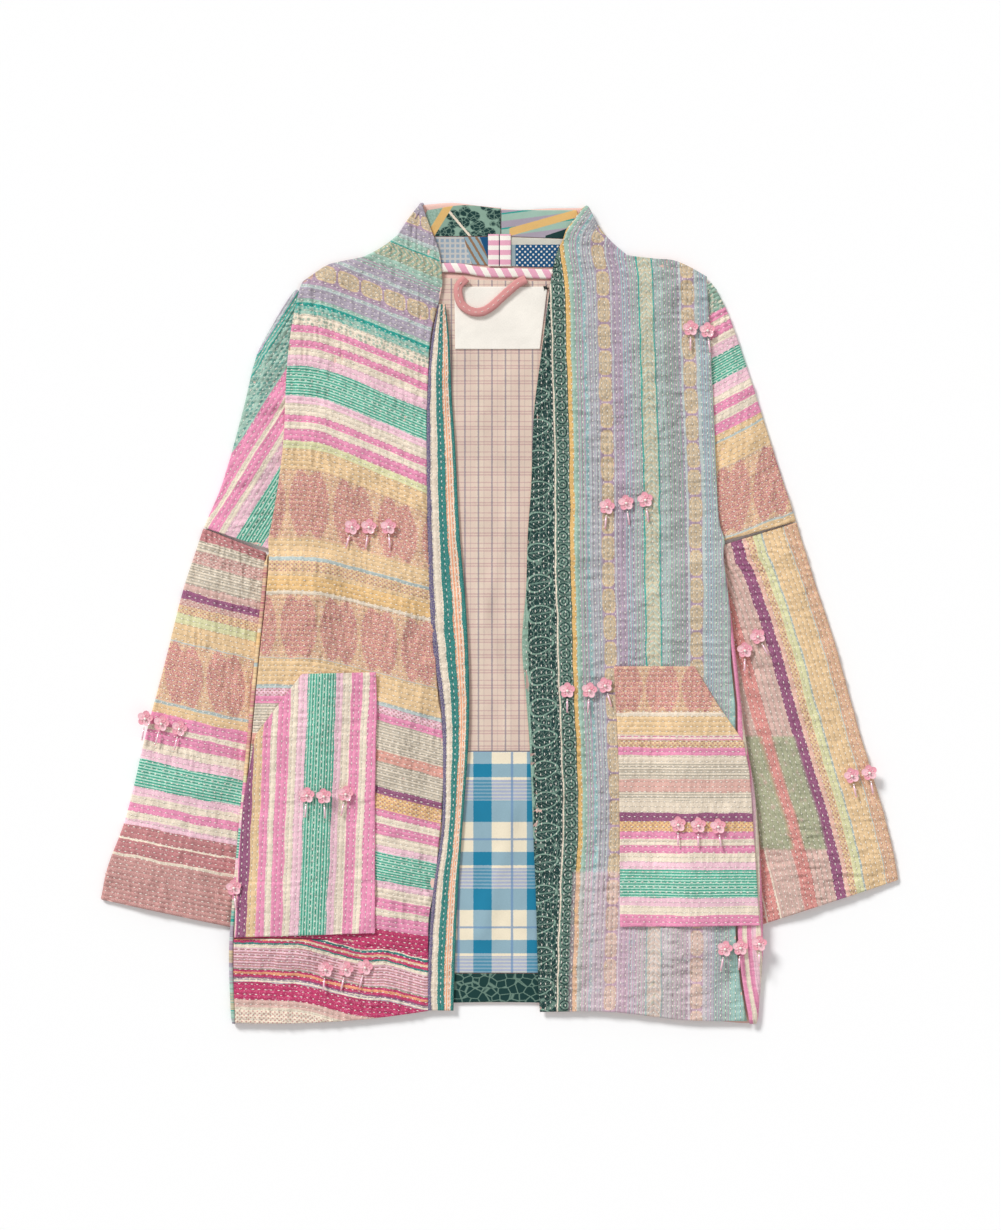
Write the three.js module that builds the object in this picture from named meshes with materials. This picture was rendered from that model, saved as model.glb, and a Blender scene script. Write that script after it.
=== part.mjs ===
// Quilted patchwork jacket, lying open on its back on a level surface.
// Millimetres. +X is the wearer's left, +Y runs from hem to collar, +Z is up from the surface.
import * as THREE from 'three';

// Cloth and stacking heights.
const QUILT = 2.4; // two cotton layers run together with rows of stitches
const POCKET_CLOTH = 2.0;
const LINING = 1.0;
const GAP = 0.35;
const SIDE_TURN = 3.0; // radius of the body's side folds, at mid-cloth
const SLEEVE_TURN = 1.6; // radius of the sleeves' long folds, at mid-cloth
const SEAM_GAP = 0.6;
const SIDE_GAP = 1.6; // between a turned side and the front it is sewn to
const SIDE_REACH = SIDE_TURN + QUILT / 2 + SIDE_GAP; // from a side's outline to the front's edge
const POCKET_LIFT = 1.2; // a patch pocket stands a little off its panel
const BACK_MID = QUILT / 2;
const FRONT_MID = BACK_MID + 2 * SIDE_TURN;
const SLEEVE_STACK = 2 * SLEEVE_TURN + QUILT + 2 * GAP; // what a tucked sleeve lifts the body by
const LINING_MID = QUILT + GAP + LINING / 2;
const ON_LINING = QUILT + 2 * GAP + LINING;
const SHOULDER_MID = QUILT + GAP + QUILT / 2;

// Body measures.
const UNDERARM = 64; // y where the armholes end
const SIDE_START = 46; // y where the side folds are fully turned
const CUFF_LEVEL = -330; // y of the sleeve ends under the body
const HEM_CENTRE = -389;
const HEM_SIDE = -410;
const ARMHOLE_LAP = 4.6; // the fronts lap the sleeves by this much
const BACK_INSET = 5.5; // the back's armhole edge, inside the seam line

// The body over a tucked sleeve: lifted in full beyond one distance from the middle, down to the cuff.
const LIFT_FROM = 150;
const LIFT_FULL = 186;
const LIFT_ABOVE = 2; // it starts this much over the underarm
const LIFT_FADE = 38; // and fades out this far below the cuff

// The fronts' free edges: where they are, and how they sink on to the lining below the label.
const EDGE_RIGHT = -50;
const EDGE_LEFT = 30;
const EDGE_DROOP = 1.8;
const DROOP_WIDTH = 34;
const DROOP_STARTS = 255;
const DROOP_FULL = 215;

// Shoulders: the fronts' top corners come down to the seam over these levels and distances.
const SHOULDER_RISE = [318, 331];
const SHOULDER_SHARE = [0.86, 1];
const SHOULDER_REACH = [131, 146];

// Sleeves: how much fuller than the turn they stand where nothing lies on them.
const PUFF = 3.4;
const PUFF_FULL = { sleeve: 26, body: 40 }; // distance out from the covering edge

// Edges as [x, y], from hem to shoulder.
const SIDE_RIGHT = [
  [-268, -410], [-270, -347], [-266, -280], [-254, -149], [-244, -42], [-238, 13], [-234, 61],
];
const SIDE_LEFT = [
  [258, -410], [262.5, -347], [262, -283], [255, -183], [244, -115], [236, -45], [228, 21], [222, 68],
];
// Where the back's left side, wrapped round to the front, meets the front panel.
const WRAP_LEFT = [
  [248, -410], [240, -363], [235.5, -313], [235.5, -147], [235, -77], [232, -27], [227, 23], [221, 73],
];
const ARMHOLE_RIGHT = [[-234, 61], [-225, 106], [-216.5, 168], [-213, 240], [-207.5, 290], [-198.5, 330]];
const ARMHOLE_LEFT = [[221.5, 68], [218, 114], [215, 179], [211.5, 255], [209.5, 300], [207.5, 336]];
const BACK_TOP = [
  [-196, 330], [-184, 338], [-152, 351], [-138, 351], [-95, 344.8], [-50, 341.5], [0, 339.6],
  [50, 338], [92, 341.6], [122, 349], [150, 352], [180, 349], [204, 336],
];

const clamp01 = (value) => Math.min(1, Math.max(0, value));

// Smooth step from 0 at a to 1 at b, whichever is larger.
function ease(a, b, value) {
  const t = clamp01((value - a) / (b - a));
  return t * t * (3 - 2 * t);
}

// A smooth curve through [key, value] points, read at a key.
function through(points, key) {
  const last = points.length - 1;
  if (key <= points[0][0]) return points[0][1];
  if (key >= points[last][0]) return points[last][1];
  const i = points.findIndex((point) => point[0] > key) - 1;
  const slope = (j) => {
    const a = points[Math.max(0, j - 1)];
    const b = points[Math.min(last, j + 1)];
    return (b[1] - a[1]) / (b[0] - a[0]);
  };
  const span = points[i + 1][0] - points[i][0];
  const t = (key - points[i][0]) / span;
  const [p, q] = [points[i][1], points[i + 1][1]];
  const [m, n] = [slope(i) * span, slope(i + 1) * span];
  return p + t * m + t * t * (3 * (q - p) - 2 * m - n) + t * t * t * (2 * (p - q) + m + n);
}

// An edge given as [x, y] points, read at a height y.
const edgeX = (edge, y) => through(edge.map(([x, height]) => [height, x]), y);

// How far the body is lifted by the sleeve that lies under it.
function lift(x, y) {
  const across = ease(LIFT_FROM, LIFT_FULL, Math.abs(x));
  const above = ease(UNDERARM + LIFT_ABOVE, SIDE_START + LIFT_ABOVE, y);
  const along = above * ease(CUFF_LEVEL - LIFT_FADE, CUFF_LEVEL, y);
  return SLEEVE_STACK * across * along;
}

// A soft ridge along the line from a to b: height at its crest, fading over its width and ends.
function ridge(x, y, [ax, ay], [bx, by], height, width) {
  const length = Math.hypot(bx - ax, by - ay);
  const [ux, uy] = [(bx - ax) / length, (by - ay) / length];
  const along = (x - ax) * ux + (y - ay) * uy;
  const beside = (y - ay) * ux - (x - ax) * uy;
  const ends = ease(-width, width, along) * ease(length + width, length - width, along);
  return height * ends * Math.exp(-((beside / width) ** 2));
}

// The largest soft folds of the two fronts, as lines from one [x, y] to another.
const FRONT_FOLDS = [
  { from: [-104, 70], to: [-108, -330], height: 5, width: 22 },
  { from: [-205, 40], to: [-150, -70], height: 3, width: 22 },
  { from: [-190, -90], to: [-215, -300], height: 3, width: 28 },
  { from: [-120, 300], to: [-150, 120], height: 2.5, width: 24 },
  { from: [72, 120], to: [66, -370], height: 4, width: 20 },
  { from: [195, 40], to: [150, -60], height: 3, width: 22 },
  { from: [190, -100], to: [196, -330], height: 3, width: 28 },
  { from: [110, 300], to: [150, 130], height: 2.5, width: 24 },
];
const SIDE_FADE = [6, 30]; // folds fade out over these distances from the side seams

// How far those folds lift a point of the fronts.
function frontFolds(x, y) {
  const folds = FRONT_FOLDS.reduce(
    (sum, { from, to, height, width }) => sum + ridge(x, y, from, to, height, width),
    0,
  );
  const fromSide = Math.min(x - edgeX(SIDE_RIGHT, y), edgeX(SIDE_LEFT, y) - x);
  return folds * (y < UNDERARM ? ease(SIDE_FADE[0], SIDE_FADE[1], fromSide) : 1);
}

// Height of the fronts' mid-cloth. Below the label the free edges lie down on the lining.
function frontHeight(x, y) {
  const edge = x < 0 ? EDGE_RIGHT : EDGE_LEFT;
  const beside = ease(DROOP_WIDTH, 0, Math.abs(x - edge));
  const droop = EDGE_DROOP * beside * ease(DROOP_STARTS, DROOP_FULL, y);
  return FRONT_MID + lift(x, y) + frontFolds(x, y) - droop;
}

const frontTop = (x, y) => frontHeight(x, y) + QUILT / 2;
const pocketHeight = (x, y) => frontTop(x, y) + POCKET_LIFT + POCKET_CLOTH / 2;

// A grid of points between pairs of rib ends. A rib is [inner, outer, bulge], each [x, y], and the
// bulge bows it. Height is a function of (x, y, across, station), or one number.
function ribGrid(ribs, { steps = 1, columns = 10, height, straight = false }) {
  const tension = straight ? 0 : 0.5;
  const curveOf = (pick) => {
    const points = ribs.map((rib) => new THREE.Vector3(...(pick(rib) ?? [0, 0]), 0));
    return new THREE.CatmullRomCurve3(points, false, 'catmullrom', tension);
  };
  const curves = [(rib) => rib[0], (rib) => rib[1], (rib) => rib[2]].map(curveOf);
  const rows = [];
  for (let row = 0; row <= (ribs.length - 1) * steps; row += 1) {
    const station = row / steps;
    const [inner, outer, bulge] = curves.map((curve) => curve.getPoint(station / (ribs.length - 1)));
    rows.push(Array.from({ length: columns + 1 }, (_, column) => {
      const across = column / columns;
      const point = inner.clone().lerp(outer, across).addScaledVector(bulge, 4 * across * (1 - across));
      point.z = typeof height === 'number' ? height : height(point.x, point.y, across, station);
      return point;
    }));
  }
  return rows;
}

// Cloth normal at a grid point, from its neighbours. A ring's columns join up.
function gridNormal(grid, row, column, ring) {
  const wide = grid[row].length;
  const near = (c) => (ring ? (c + wide) % wide : Math.min(wide - 1, Math.max(0, c)));
  const across = grid[row][near(column + 1)].clone().sub(grid[row][near(column - 1)]);
  const above = grid[Math.min(grid.length - 1, row + 1)][column];
  const below = grid[Math.max(0, row - 1)][column];
  return across.cross(above.clone().sub(below)).normalize();
}

// A closed wall of cloth whose middle is the grid.
function clothWall(grid, thickness, ring = false) {
  const tall = grid.length;
  const wide = grid[0].length;
  const positions = [];
  for (const side of [0.5, -0.5]) {
    grid.forEach((points, row) => points.forEach((point, column) => {
      const normal = gridNormal(grid, row, column, ring);
      positions.push(...point.clone().addScaledVector(normal, side * thickness).toArray());
    }));
  }
  const at = (row, column, under) => (under ? tall * wide : 0) + row * wide + (column % wide);
  const indices = [];
  const quad = (a, b, c, d) => indices.push(a, b, c, a, c, d);
  const spans = ring ? wide : wide - 1;
  for (let row = 0; row < tall - 1; row += 1) {
    for (let column = 0; column < spans; column += 1) {
      const [next, above] = [column + 1, row + 1];
      quad(at(row, column), at(row, next), at(above, next), at(above, column));
      quad(at(row, column, true), at(above, column, true), at(above, next, true), at(row, next, true));
    }
    if (!ring) {
      const [end, above] = [wide - 1, row + 1];
      quad(at(row, 0), at(above, 0), at(above, 0, true), at(row, 0, true));
      quad(at(row, end), at(row, end, true), at(above, end, true), at(above, end));
    }
  }
  for (let column = 0; column < spans; column += 1) {
    const [next, top] = [column + 1, tall - 1];
    quad(at(0, column), at(0, column, true), at(0, next, true), at(0, next));
    quad(at(top, column), at(top, next), at(top, next, true), at(top, column, true));
  }
  return closedGeometry(positions, indices);
}

// Makes a buffer geometry and turns its faces outwards.
function closedGeometry(positions, indices) {
  const corner = (i) => new THREE.Vector3(...positions.slice(3 * i, 3 * i + 3));
  let volume = 0;
  for (let i = 0; i < indices.length; i += 3) {
    volume += corner(indices[i]).dot(corner(indices[i + 1]).cross(corner(indices[i + 2])));
  }
  const geometry = new THREE.BufferGeometry();
  geometry.setAttribute('position', new THREE.Float32BufferAttribute(positions, 3));
  geometry.setIndex(volume > 0 ? indices : indices.slice().reverse());
  return geometry;
}

const SIDE_FLAT = 12; // the flat cloth inside a side's turn that counts with it

// One side of a back row: flat, then turned up by an angle, then wrapped flat on top.
function sideProfile(edge, outward, turn, wrap, count) {
  const flat = SIDE_FLAT;
  const tangent = edge - outward * (SIDE_TURN + QUILT / 2) * (turn / Math.PI);
  const length = flat + SIDE_TURN * turn + wrap;
  return Array.from({ length: count + 1 }, (_, i) => {
    const beyond = (length * i) / count - flat;
    const angle = Math.min(turn, Math.max(0, beyond / SIDE_TURN));
    const rest = beyond < 0 ? beyond : Math.max(0, beyond - SIDE_TURN * turn);
    const x = tangent + outward * (SIDE_TURN * Math.sin(angle) + Math.cos(angle) * rest);
    return [x, SIDE_TURN * (1 - Math.cos(angle)) + Math.sin(angle) * Math.max(0, rest)];
  });
}

const BACK_LEVELS = [
  -410, -388, -368, -349, -330, -290, -235, -180, -125, -75, -30, 10, 34, 46, 52, 58, 64, 80, 120,
  165, 210, 255, 295, 330,
];
const BACK_COLUMNS = [-188, -166, -120, -60, 0, 60, 120, 166, 188];
const HEM_CURVE = [60, 250]; // the hem falls from its middle to its sides between these distances

// The back: from the armholes and neck seam down to the hem, its sides turned up to the fronts.
function backGrid() {
  const sideColumns = 6;
  const top = BACK_LEVELS[BACK_LEVELS.length - 1];
  return BACK_LEVELS.map((level) => {
    const share = (level - HEM_SIDE) / (top - HEM_SIDE);
    const sideOf = (side, armhole, outward, crest) => {
      const y = HEM_SIDE + (crest - HEM_SIDE) * share;
      const turned = ease(UNDERARM, SIDE_START, y);
      const inset = edgeX(armhole, Math.max(y, armhole[0][1])) - outward * BACK_INSET;
      return { y, turned, edge: inset + (edgeX(side, y) - inset) * turned };
    };
    const left = sideOf(SIDE_LEFT, ARMHOLE_LEFT, 1, BACK_TOP[BACK_TOP.length - 1][1]);
    const right = sideOf(SIDE_RIGHT, ARMHOLE_RIGHT, -1, BACK_TOP[0][1]);
    const wrapped = Math.max(0, left.edge - SIDE_REACH - edgeX(WRAP_LEFT, left.y));
    const wrap = left.turned === 1 ? wrapped : 0;
    const rightSide = sideProfile(right.edge, -1, Math.PI * right.turned, 0, sideColumns).reverse();
    const leftSide = sideProfile(left.edge, 1, Math.PI * left.turned, wrap, sideColumns);
    const flat = BACK_COLUMNS.map((x) => [x, 0]);
    return [...rightSide, ...flat, ...leftSide].map(([x, rise]) => {
      const hem = HEM_CENTRE + (HEM_SIDE - HEM_CENTRE) * ease(...HEM_CURVE, Math.abs(x));
      const height = hem + (through(BACK_TOP, x) - hem) * share;
      return new THREE.Vector3(x, height, BACK_MID + lift(x, height) + rise);
    });
  });
}

// A front cut in one with its half of the stand collar. The rows climb from the hem, turn over the
// collar's side fold and run on round the back of the neck to the centre seam.
function frontGrid({ ribs, fold, foldBulge, collar }) {
  const columns = 10;
  const shoulderDrop = (x, y, across) => {
    const corner = ease(...SHOULDER_SHARE, across) * ease(...SHOULDER_REACH, Math.abs(x));
    const drop = (FRONT_MID - SHOULDER_MID) * ease(...SHOULDER_RISE, y) * corner;
    return frontHeight(x, y) - drop;
  };
  const body = ribGrid(ribs, { steps: 2, columns, height: shoulderDrop });
  const [tip, neck] = fold.map(([x, y]) => new THREE.Vector3(x, y, 0));
  const bulge = new THREE.Vector3(...foldBulge, 0);
  const inward = bulge.clone().normalize();
  const turns = [0, 0.25, 0.5, 0.75, 1].map((turn) => Array.from({ length: columns + 1 }, (_, column) => {
    const across = column / columns;
    const reach = SIDE_TURN + QUILT / 2 - SIDE_TURN * Math.sin(Math.PI * turn);
    const point = tip.clone().lerp(neck, across).addScaledVector(bulge, 4 * across * (1 - across));
    point.addScaledVector(inward, reach);
    point.z = BACK_MID + SIDE_TURN * (1 + Math.cos(Math.PI * turn));
    return point;
  }));
  const start = turns[4];
  const firstRib = [[start[0].x, start[0].y], [start[columns].x, start[columns].y], foldBulge];
  const behind = ribGrid([firstRib, ...collar], { steps: 2, columns, height: BACK_MID });
  return [...body, ...turns, ...behind.slice(1)];
}

// A sleeve section laid flat. Each rib runs from the outer fold to the inner edge. The two layers
// join at the outer fold, and at the inner one too where the section is a whole tube.
function sleeveGrid(ribs, { steps, tube, puff }) {
  const layerColumns = 6;
  const turnColumns = 3;
  const reach = SLEEVE_TURN + QUILT / 2;
  const flat = ribGrid(ribs, { steps, columns: 1, height: 0 });
  return flat.map(([outer, inner], row) => {
    const inwards = inner.clone().sub(outer).normalize();
    const from = outer.clone().addScaledVector(inwards, reach);
    const to = tube ? inner.clone().addScaledVector(inwards, -reach) : inner;
    const layer = (above) => Array.from({ length: layerColumns + 1 }, (_, column) => {
      const across = column / layerColumns;
      const point = to.clone().lerp(from, across);
      const fullness = puff(point.x, point.y, across, row / (flat.length - 1));
      return point.setZ(BACK_MID + above * (2 * SLEEVE_TURN + fullness));
    });
    const turn = (centre, sign) => Array.from({ length: turnColumns }, (_, i) => {
      const angle = (Math.PI * (i + 1)) / (turnColumns + 1);
      const point = centre.clone().addScaledVector(inwards, sign * SLEEVE_TURN * Math.sin(angle));
      return point.setZ(BACK_MID + SLEEVE_TURN * (1 - Math.cos(angle)));
    });
    const around = [...layer(0), ...turn(from, -1), ...layer(1).reverse()];
    return tube ? [...around, ...turn(to, 1).reverse()] : around;
  });
}

// Sleeves stand a little fuller where nothing lies on them.
function sleevePuff(x, y, across, station) {
  const armhole = x < 0 ? ARMHOLE_RIGHT : ARMHOLE_LEFT;
  const side = x < 0 ? SIDE_RIGHT : SIDE_LEFT;
  const covered = Math.abs(edgeX(y > UNDERARM ? armhole : side, y));
  const full = y > UNDERARM ? PUFF_FULL.sleeve : PUFF_FULL.body;
  const free = ease(2, full, Math.abs(x) - covered);
  const atFold = ease(1, 0.72, across);
  return PUFF * free * atFold * ease(0, 0.12, station) * ease(1.35, 0.8, station);
}

// Finishes. Colours are the ground colour of each patch.
const FINISHES = {
  back: [0xc9bfae, 0.9], mint: [0xa9bfb2, 0.9], pinkStripe: [0xe0aab4, 0.9], rose: [0xc79a8e, 0.9],
  band: [0x5a8f82, 0.9], magenta: [0xb8486b, 0.88], check: [0xdcc5b4, 0.88], plaid: [0x7fa6b8, 0.88],
  green: [0x2c5a55, 0.85], navy: [0x2d5877, 0.88], binding: [0xf3b6c4, 0.8], loop: [0xce8d8c, 0.85],
  label: [0xf3ebdd, 0.75], bead: [0xf4a6b6, 0.3], pocket: [0xe7a9bd, 0.9],
};

const jacket = new THREE.Group();

function addPiece(name, geometry, finish) {
  const [color, roughness] = FINISHES[finish];
  const mesh = new THREE.Mesh(geometry, new THREE.MeshStandardMaterial({ color, roughness, metalness: 0 }));
  mesh.name = name;
  jacket.add(mesh);
  return mesh;
}

addPiece('back_panel', clothWall(backGrid(), QUILT), 'back');

const rightSide = (y) => [edgeX(SIDE_RIGHT, y) + SIDE_REACH, y];
const leftSide = (y) => [Math.min(edgeX(WRAP_LEFT, y), edgeX(SIDE_LEFT, y) - SIDE_REACH), y];

addPiece('front_right', clothWall(frontGrid({
  ribs: [
    [[-72, -337], rightSide(-324)], [[-66, -279], rightSide(-280)], [[-56, -212], rightSide(-214)],
    [[-56, -152], rightSide(-149)], [[-58, -92], rightSide(-99)], [[-65, -42], rightSide(-42)],
    [[-69, 13], rightSide(13)], [[-71, 52], rightSide(52)], [[-71.5, 82], [-229, 82]],
    [[-72, 163], [-217.5, 163]], [[-71, 223], [-214, 228]], [[-67, 272], [-209.5, 272]],
    [[-58, 318], [-201.5, 318]], [[-57, 342], [-178, 344]], [[-61, 364], [-152, 351.5]],
    [[-67, 384], [-142, 353]],
  ],
  fold: [[-78, 411], [-136, 356]],
  foldBulge: [5.3, -5.6],
  collar: [[[-47, 410], [-92, 346.4], [1.5, -1.5]], [[-20, 407], [-45, 342.3]], [[1.2, 405], [1.2, 340.8]]],
}), QUILT), 'pinkStripe');

addPiece('front_left', clothWall(frontGrid({
  ribs: [
    [[40, -400], leftSide(-406)], [[38, -363], leftSide(-363)], [[36, -288], leftSide(-300)],
    [[33, -213], leftSide(-225)], [[30, -139], leftSide(-147)], [[26, -82], leftSide(-77)],
    [[22, -30], leftSide(-27)], [[26, 21], leftSide(23)], [[27, 52], leftSide(52)],
    [[28, 82], [220, 82]], [[31, 123], [218, 123]], [[34, 200], [214, 200]], [[42, 264], [211, 264]],
    [[49, 318], [208.5, 320]], [[54, 350], [186, 346]], [[60, 367], [150, 352.5]],
    [[68, 385], [134, 355]],
  ],
  fold: [[87, 407.5], [128, 357.5]],
  foldBulge: [-3.4, -2.8],
  collar: [[[52, 404.5], [86, 344.4], [-1, -1]], [[22, 403], [44, 340.2]], [[1.8, 404], [1.8, 340.6]]],
}), QUILT), 'mint');

const BAND_RIBS = [
  [[-46, -397], [-71.2, -396.5]], [[-45, -363], [-71.6, -362]], [[-42, -288], [-67, -284]],
  [[-37, -214], [-57.6, -213]], [[-31.5, -139], [-56.6, -139]], [[-30, -92], [-58.8, -91]],
  [[-31, -42], [-65.6, -42]], [[-34, 13], [-69.8, 13]], [[-40, 83], [-72, 83]],
  [[-44, 163], [-72.8, 163]], [[-48, 223], [-71.8, 223]], [[-50, 272], [-67.8, 272]],
  [[-54, 308], [-61, 308]],
];
const BAND_GAP = 2.2;
const bandHeight = (x, y) => frontHeight(x, y) + SEAM_GAP;
const sewnBand = BAND_RIBS.map(([inner, outer]) => [inner, [outer[0] + BAND_GAP, outer[1]]]);
const bandGrid = ribGrid(sewnBand, { steps: 2, columns: 3, height: bandHeight });
addPiece('front_band_right', clothWall(bandGrid, QUILT), 'band');

addPiece('hem_band_right', clothWall(ribGrid([
  [[-73.5, -338], rightSide(-325)],
  [[-73.5, -362], rightSide(-362)],
  [[-72.5, -397], rightSide(-409), [0, -5]],
], { steps: 2, columns: 10, height: frontHeight }), QUILT), 'magenta');

const sleeveEdge = (armhole, outward) => (y) => [edgeX(armhole, y) - outward * ARMHOLE_LAP, y];
const rightSeam = sleeveEdge(ARMHOLE_RIGHT, -1);
const leftSeam = sleeveEdge(ARMHOLE_LEFT, 1);

addPiece('sleeve_upper_right', clothWall(sleeveGrid([
  [[-211, 314], rightSeam(310)], [[-225, 291], rightSeam(282)], [[-243, 256], rightSeam(244)],
  [[-257, 200], rightSeam(186)], [[-276.5, 131], rightSeam(116)], [[-295.7, 85.5], rightSeam(63.5)],
], { steps: 2, tube: false, puff: sleevePuff }), QUILT), 'pinkStripe');

addPiece('sleeve_lower_right', clothWall(sleeveGrid([
  [[-296, 84.7], [-237, 61.8]], [[-303.5, 62], [-239, 43]], [[-317, 20], [-224, -4]],
  [[-335, -52], [-212, -80]], [[-353, -120], [-208, -152]], [[-373, -203], [-210, -235]],
  [[-391, -252], [-213, -288]], [[-398.6, -286], [-216, -325]],
], { steps: 1, tube: true, puff: sleevePuff }), QUILT), 'rose');

addPiece('sleeve_upper_left', clothWall(sleeveGrid([
  [[217.5, 321], leftSeam(316)], [[228, 300], leftSeam(290)], [[243, 258], leftSeam(245)],
  [[261, 202], leftSeam(188)], [[279, 145], leftSeam(128)], [[296.5, 91.6], leftSeam(70)],
], { steps: 2, tube: false, puff: sleevePuff }), QUILT), 'pinkStripe');

addPiece('sleeve_lower_left', clothWall(sleeveGrid([
  [[296.8, 90.6], [225.5, 68.6]], [[303.5, 68], [228, 47]], [[316, 28], [213, 0]],
  [[335, -30], [203, -60]], [[358, -113], [199, -150]], [[380, -186], [203, -230]],
  [[392, -232], [210, -285]], [[398.6, -266.5], [217, -326]],
], { steps: 1, tube: true, puff: sleevePuff }), QUILT), 'rose');

// Patch pockets with a slanted hand opening, set into the side seams.
addPiece('pocket_right', clothWall(ribGrid([
  [[-124, -319], [-264, -323]], [[-124, -267], [-262, -267]], [[-124, -187], [-255, -187]],
  [[-123, -122], [-243, -122]], [[-122, -95], [-223, -95]], [[-123, -59], [-198, -62]],
], { steps: 2, columns: 8, height: pocketHeight, straight: true }), POCKET_CLOTH), 'pocket');

addPiece('pocket_left', clothWall(ribGrid([
  [[120, -313], [259, -311]], [[120, -226], [254, -232]], [[119, -160], [249, -160]],
  [[118, -126], [243, -128]], [[116, -90], [218, -92]], [[114, -53], [194, -53]],
], { steps: 2, columns: 8, height: pocketHeight, straight: true }), POCKET_CLOTH), 'pocket');

// Inside of the back, seen between the fronts.
addPiece('back_lining_upper', clothWall(ribGrid([
  [[-98, -137.6], [78, -138]], [[-98, 60], [78, 60]], [[-92, 250], [80, 250]],
  [[-78, 336.5], [78, 332], [2, -2]],
], { steps: 2, columns: 6, height: LINING_MID }), LINING), 'check');
addPiece('back_lining_lower', clothWall(ribGrid([
  [[-96, -359.4], [78, -359.6]], [[-98, -138.2], [78, -138.6]],
], { steps: 3, columns: 6, height: LINING_MID }), LINING), 'plaid');
addPiece('back_hem_facing', clothWall(ribGrid([
  [[-120, -393], [110, -392.5], [0, 4]], [[-120, -360], [110, -360.2]],
], { steps: 2, columns: 8, height: LINING_MID }), LINING), 'green');

// Inside of the collar, behind the neck.
addPiece('collar_facing_right', clothWall(ribGrid([
  [[-86, 376.6], [-72, 402.5]], [[-40, 376.4], [-36, 407.5]], [[1.1, 376.4], [1.1, 404]],
], { steps: 3, columns: 2, height: LINING_MID }), LINING), 'green');
addPiece('collar_facing_left', clothWall(ribGrid([
  [[1.9, 376.4], [1.9, 402.8]], [[40, 375], [38, 402.5]], [[88, 373], [77, 402.5]],
], { steps: 3, columns: 2, height: LINING_MID }), LINING), 'green');
addPiece('collar_lining_right', clothWall(ribGrid([
  [[-98, 353.5], [-90, 376]], [[-56, 350], [-52, 375.8]], [[1.1, 346.6], [1.1, 375.8]],
], { steps: 3, columns: 2, height: LINING_MID }), LINING), 'navy');
addPiece('collar_lining_left', clothWall(ribGrid([
  [[1.9, 346.6], [1.9, 375.8]], [[52, 345.4], [50, 374.2]], [[94, 348], [88, 372.4]],
], { steps: 3, columns: 2, height: LINING_MID }), LINING), 'navy');

// Tapes over the collar's centre seam, one each side of it.
const TAPE = 1.2;
const TAPE_LEVELS = [346.2, 378.4];
for (const [name, from, to] of [['collar_seam_tape_right', -11.4, -0.4], ['collar_seam_tape_left', 0.4, 11.4]]) {
  const ribs = TAPE_LEVELS.map((y) => [[from, y], [to, y]]);
  const grid = ribGrid(ribs, { steps: 4, columns: 3, height: ON_LINING + TAPE / 2 });
  addPiece(name, clothWall(grid, TAPE), 'binding');
}

const BINDING = 2.2;
addPiece('neck_binding', clothWall(ribGrid([
  [[-72, 341.5], [-71, 351]], [[-58, 339.4], [-57, 348.6]], [[-14, 335.8], [-14, 345.2]],
  [[18, 335.2], [18, 344.6]], [[51, 334], [51, 343.6]], [[70, 334.4], [70, 343.8]],
], { steps: 2, columns: 2, height: QUILT + GAP + BINDING / 2 }), BINDING), 'binding');

const LABEL = 1.0;
addPiece('label', clothWall(ribGrid([
  [[-44.5, 263.5], [40.5, 263.5]], [[-45, 326], [48, 326]],
], { steps: 4, columns: 6, height: ON_LINING + LABEL / 2 }), LABEL), 'label');

// Hang loop: a soft cloth tube, sewn under the neck binding at both ends.
function hangLoop() {
  const [width, depth, sides] = [9, 4.8, 8];
  const level = ON_LINING + LABEL + GAP + depth / 2;
  const route = [
    [-33.5, 334], [-41, 325], [-38.5, 309], [-26.5, 300.5], [-12, 303], [6.5, 319], [18.5, 329], [26.5, 333],
  ];
  const path = new THREE.CatmullRomCurve3(route.map(([x, y]) => new THREE.Vector3(x, y, 0)));
  const steps = 18;
  const grid = Array.from({ length: steps + 1 }, (_, i) => {
    const centre = path.getPointAt(i / steps);
    const tangent = path.getTangentAt(i / steps);
    const across = new THREE.Vector3(-tangent.y, tangent.x, 0);
    return Array.from({ length: sides }, (_, side) => {
      const angle = (2 * Math.PI * side) / sides;
      const point = centre.clone().addScaledVector(across, (width / 2) * Math.cos(angle));
      return point.setZ(level + (depth / 2) * Math.sin(angle));
    });
  });
  const positions = [...grid.flat().flatMap((point) => point.toArray())];
  const indices = [];
  for (let ring = 0; ring < steps; ring += 1) {
    for (let side = 0; side < sides; side += 1) {
      const next = (side + 1) % sides;
      const [a, b] = [ring * sides + side, ring * sides + next];
      indices.push(a, b, b + sides, a, b + sides, a + sides);
    }
  }
  for (let side = 1; side < sides - 1; side += 1) {
    const last = steps * sides;
    indices.push(0, side + 1, side);
    indices.push(last, last + side, last + side + 1);
  }
  return closedGeometry(positions, indices);
}
addPiece('hang_loop', hangLoop(), 'loop');

// Beaded trims: a five-petalled flower with a bugle bead hanging from it.
const PETAL_REACH = 7.6;
const BUGLE = { from: 9.5, to: 22.5, halfWidth: 1.2 };
const TRIM_HEIGHT = 3;
const TRIM_LIFT = 1.2;
const FULLEST = 3.6; // more than a sleeve's top layer ever stands over its turn
const onSleeve = () => BACK_MID * 2 + 2 * SLEEVE_TURN + FULLEST;
const onPocket = (x, y) => pocketHeight(x, y) + POCKET_CLOTH / 2;
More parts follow.
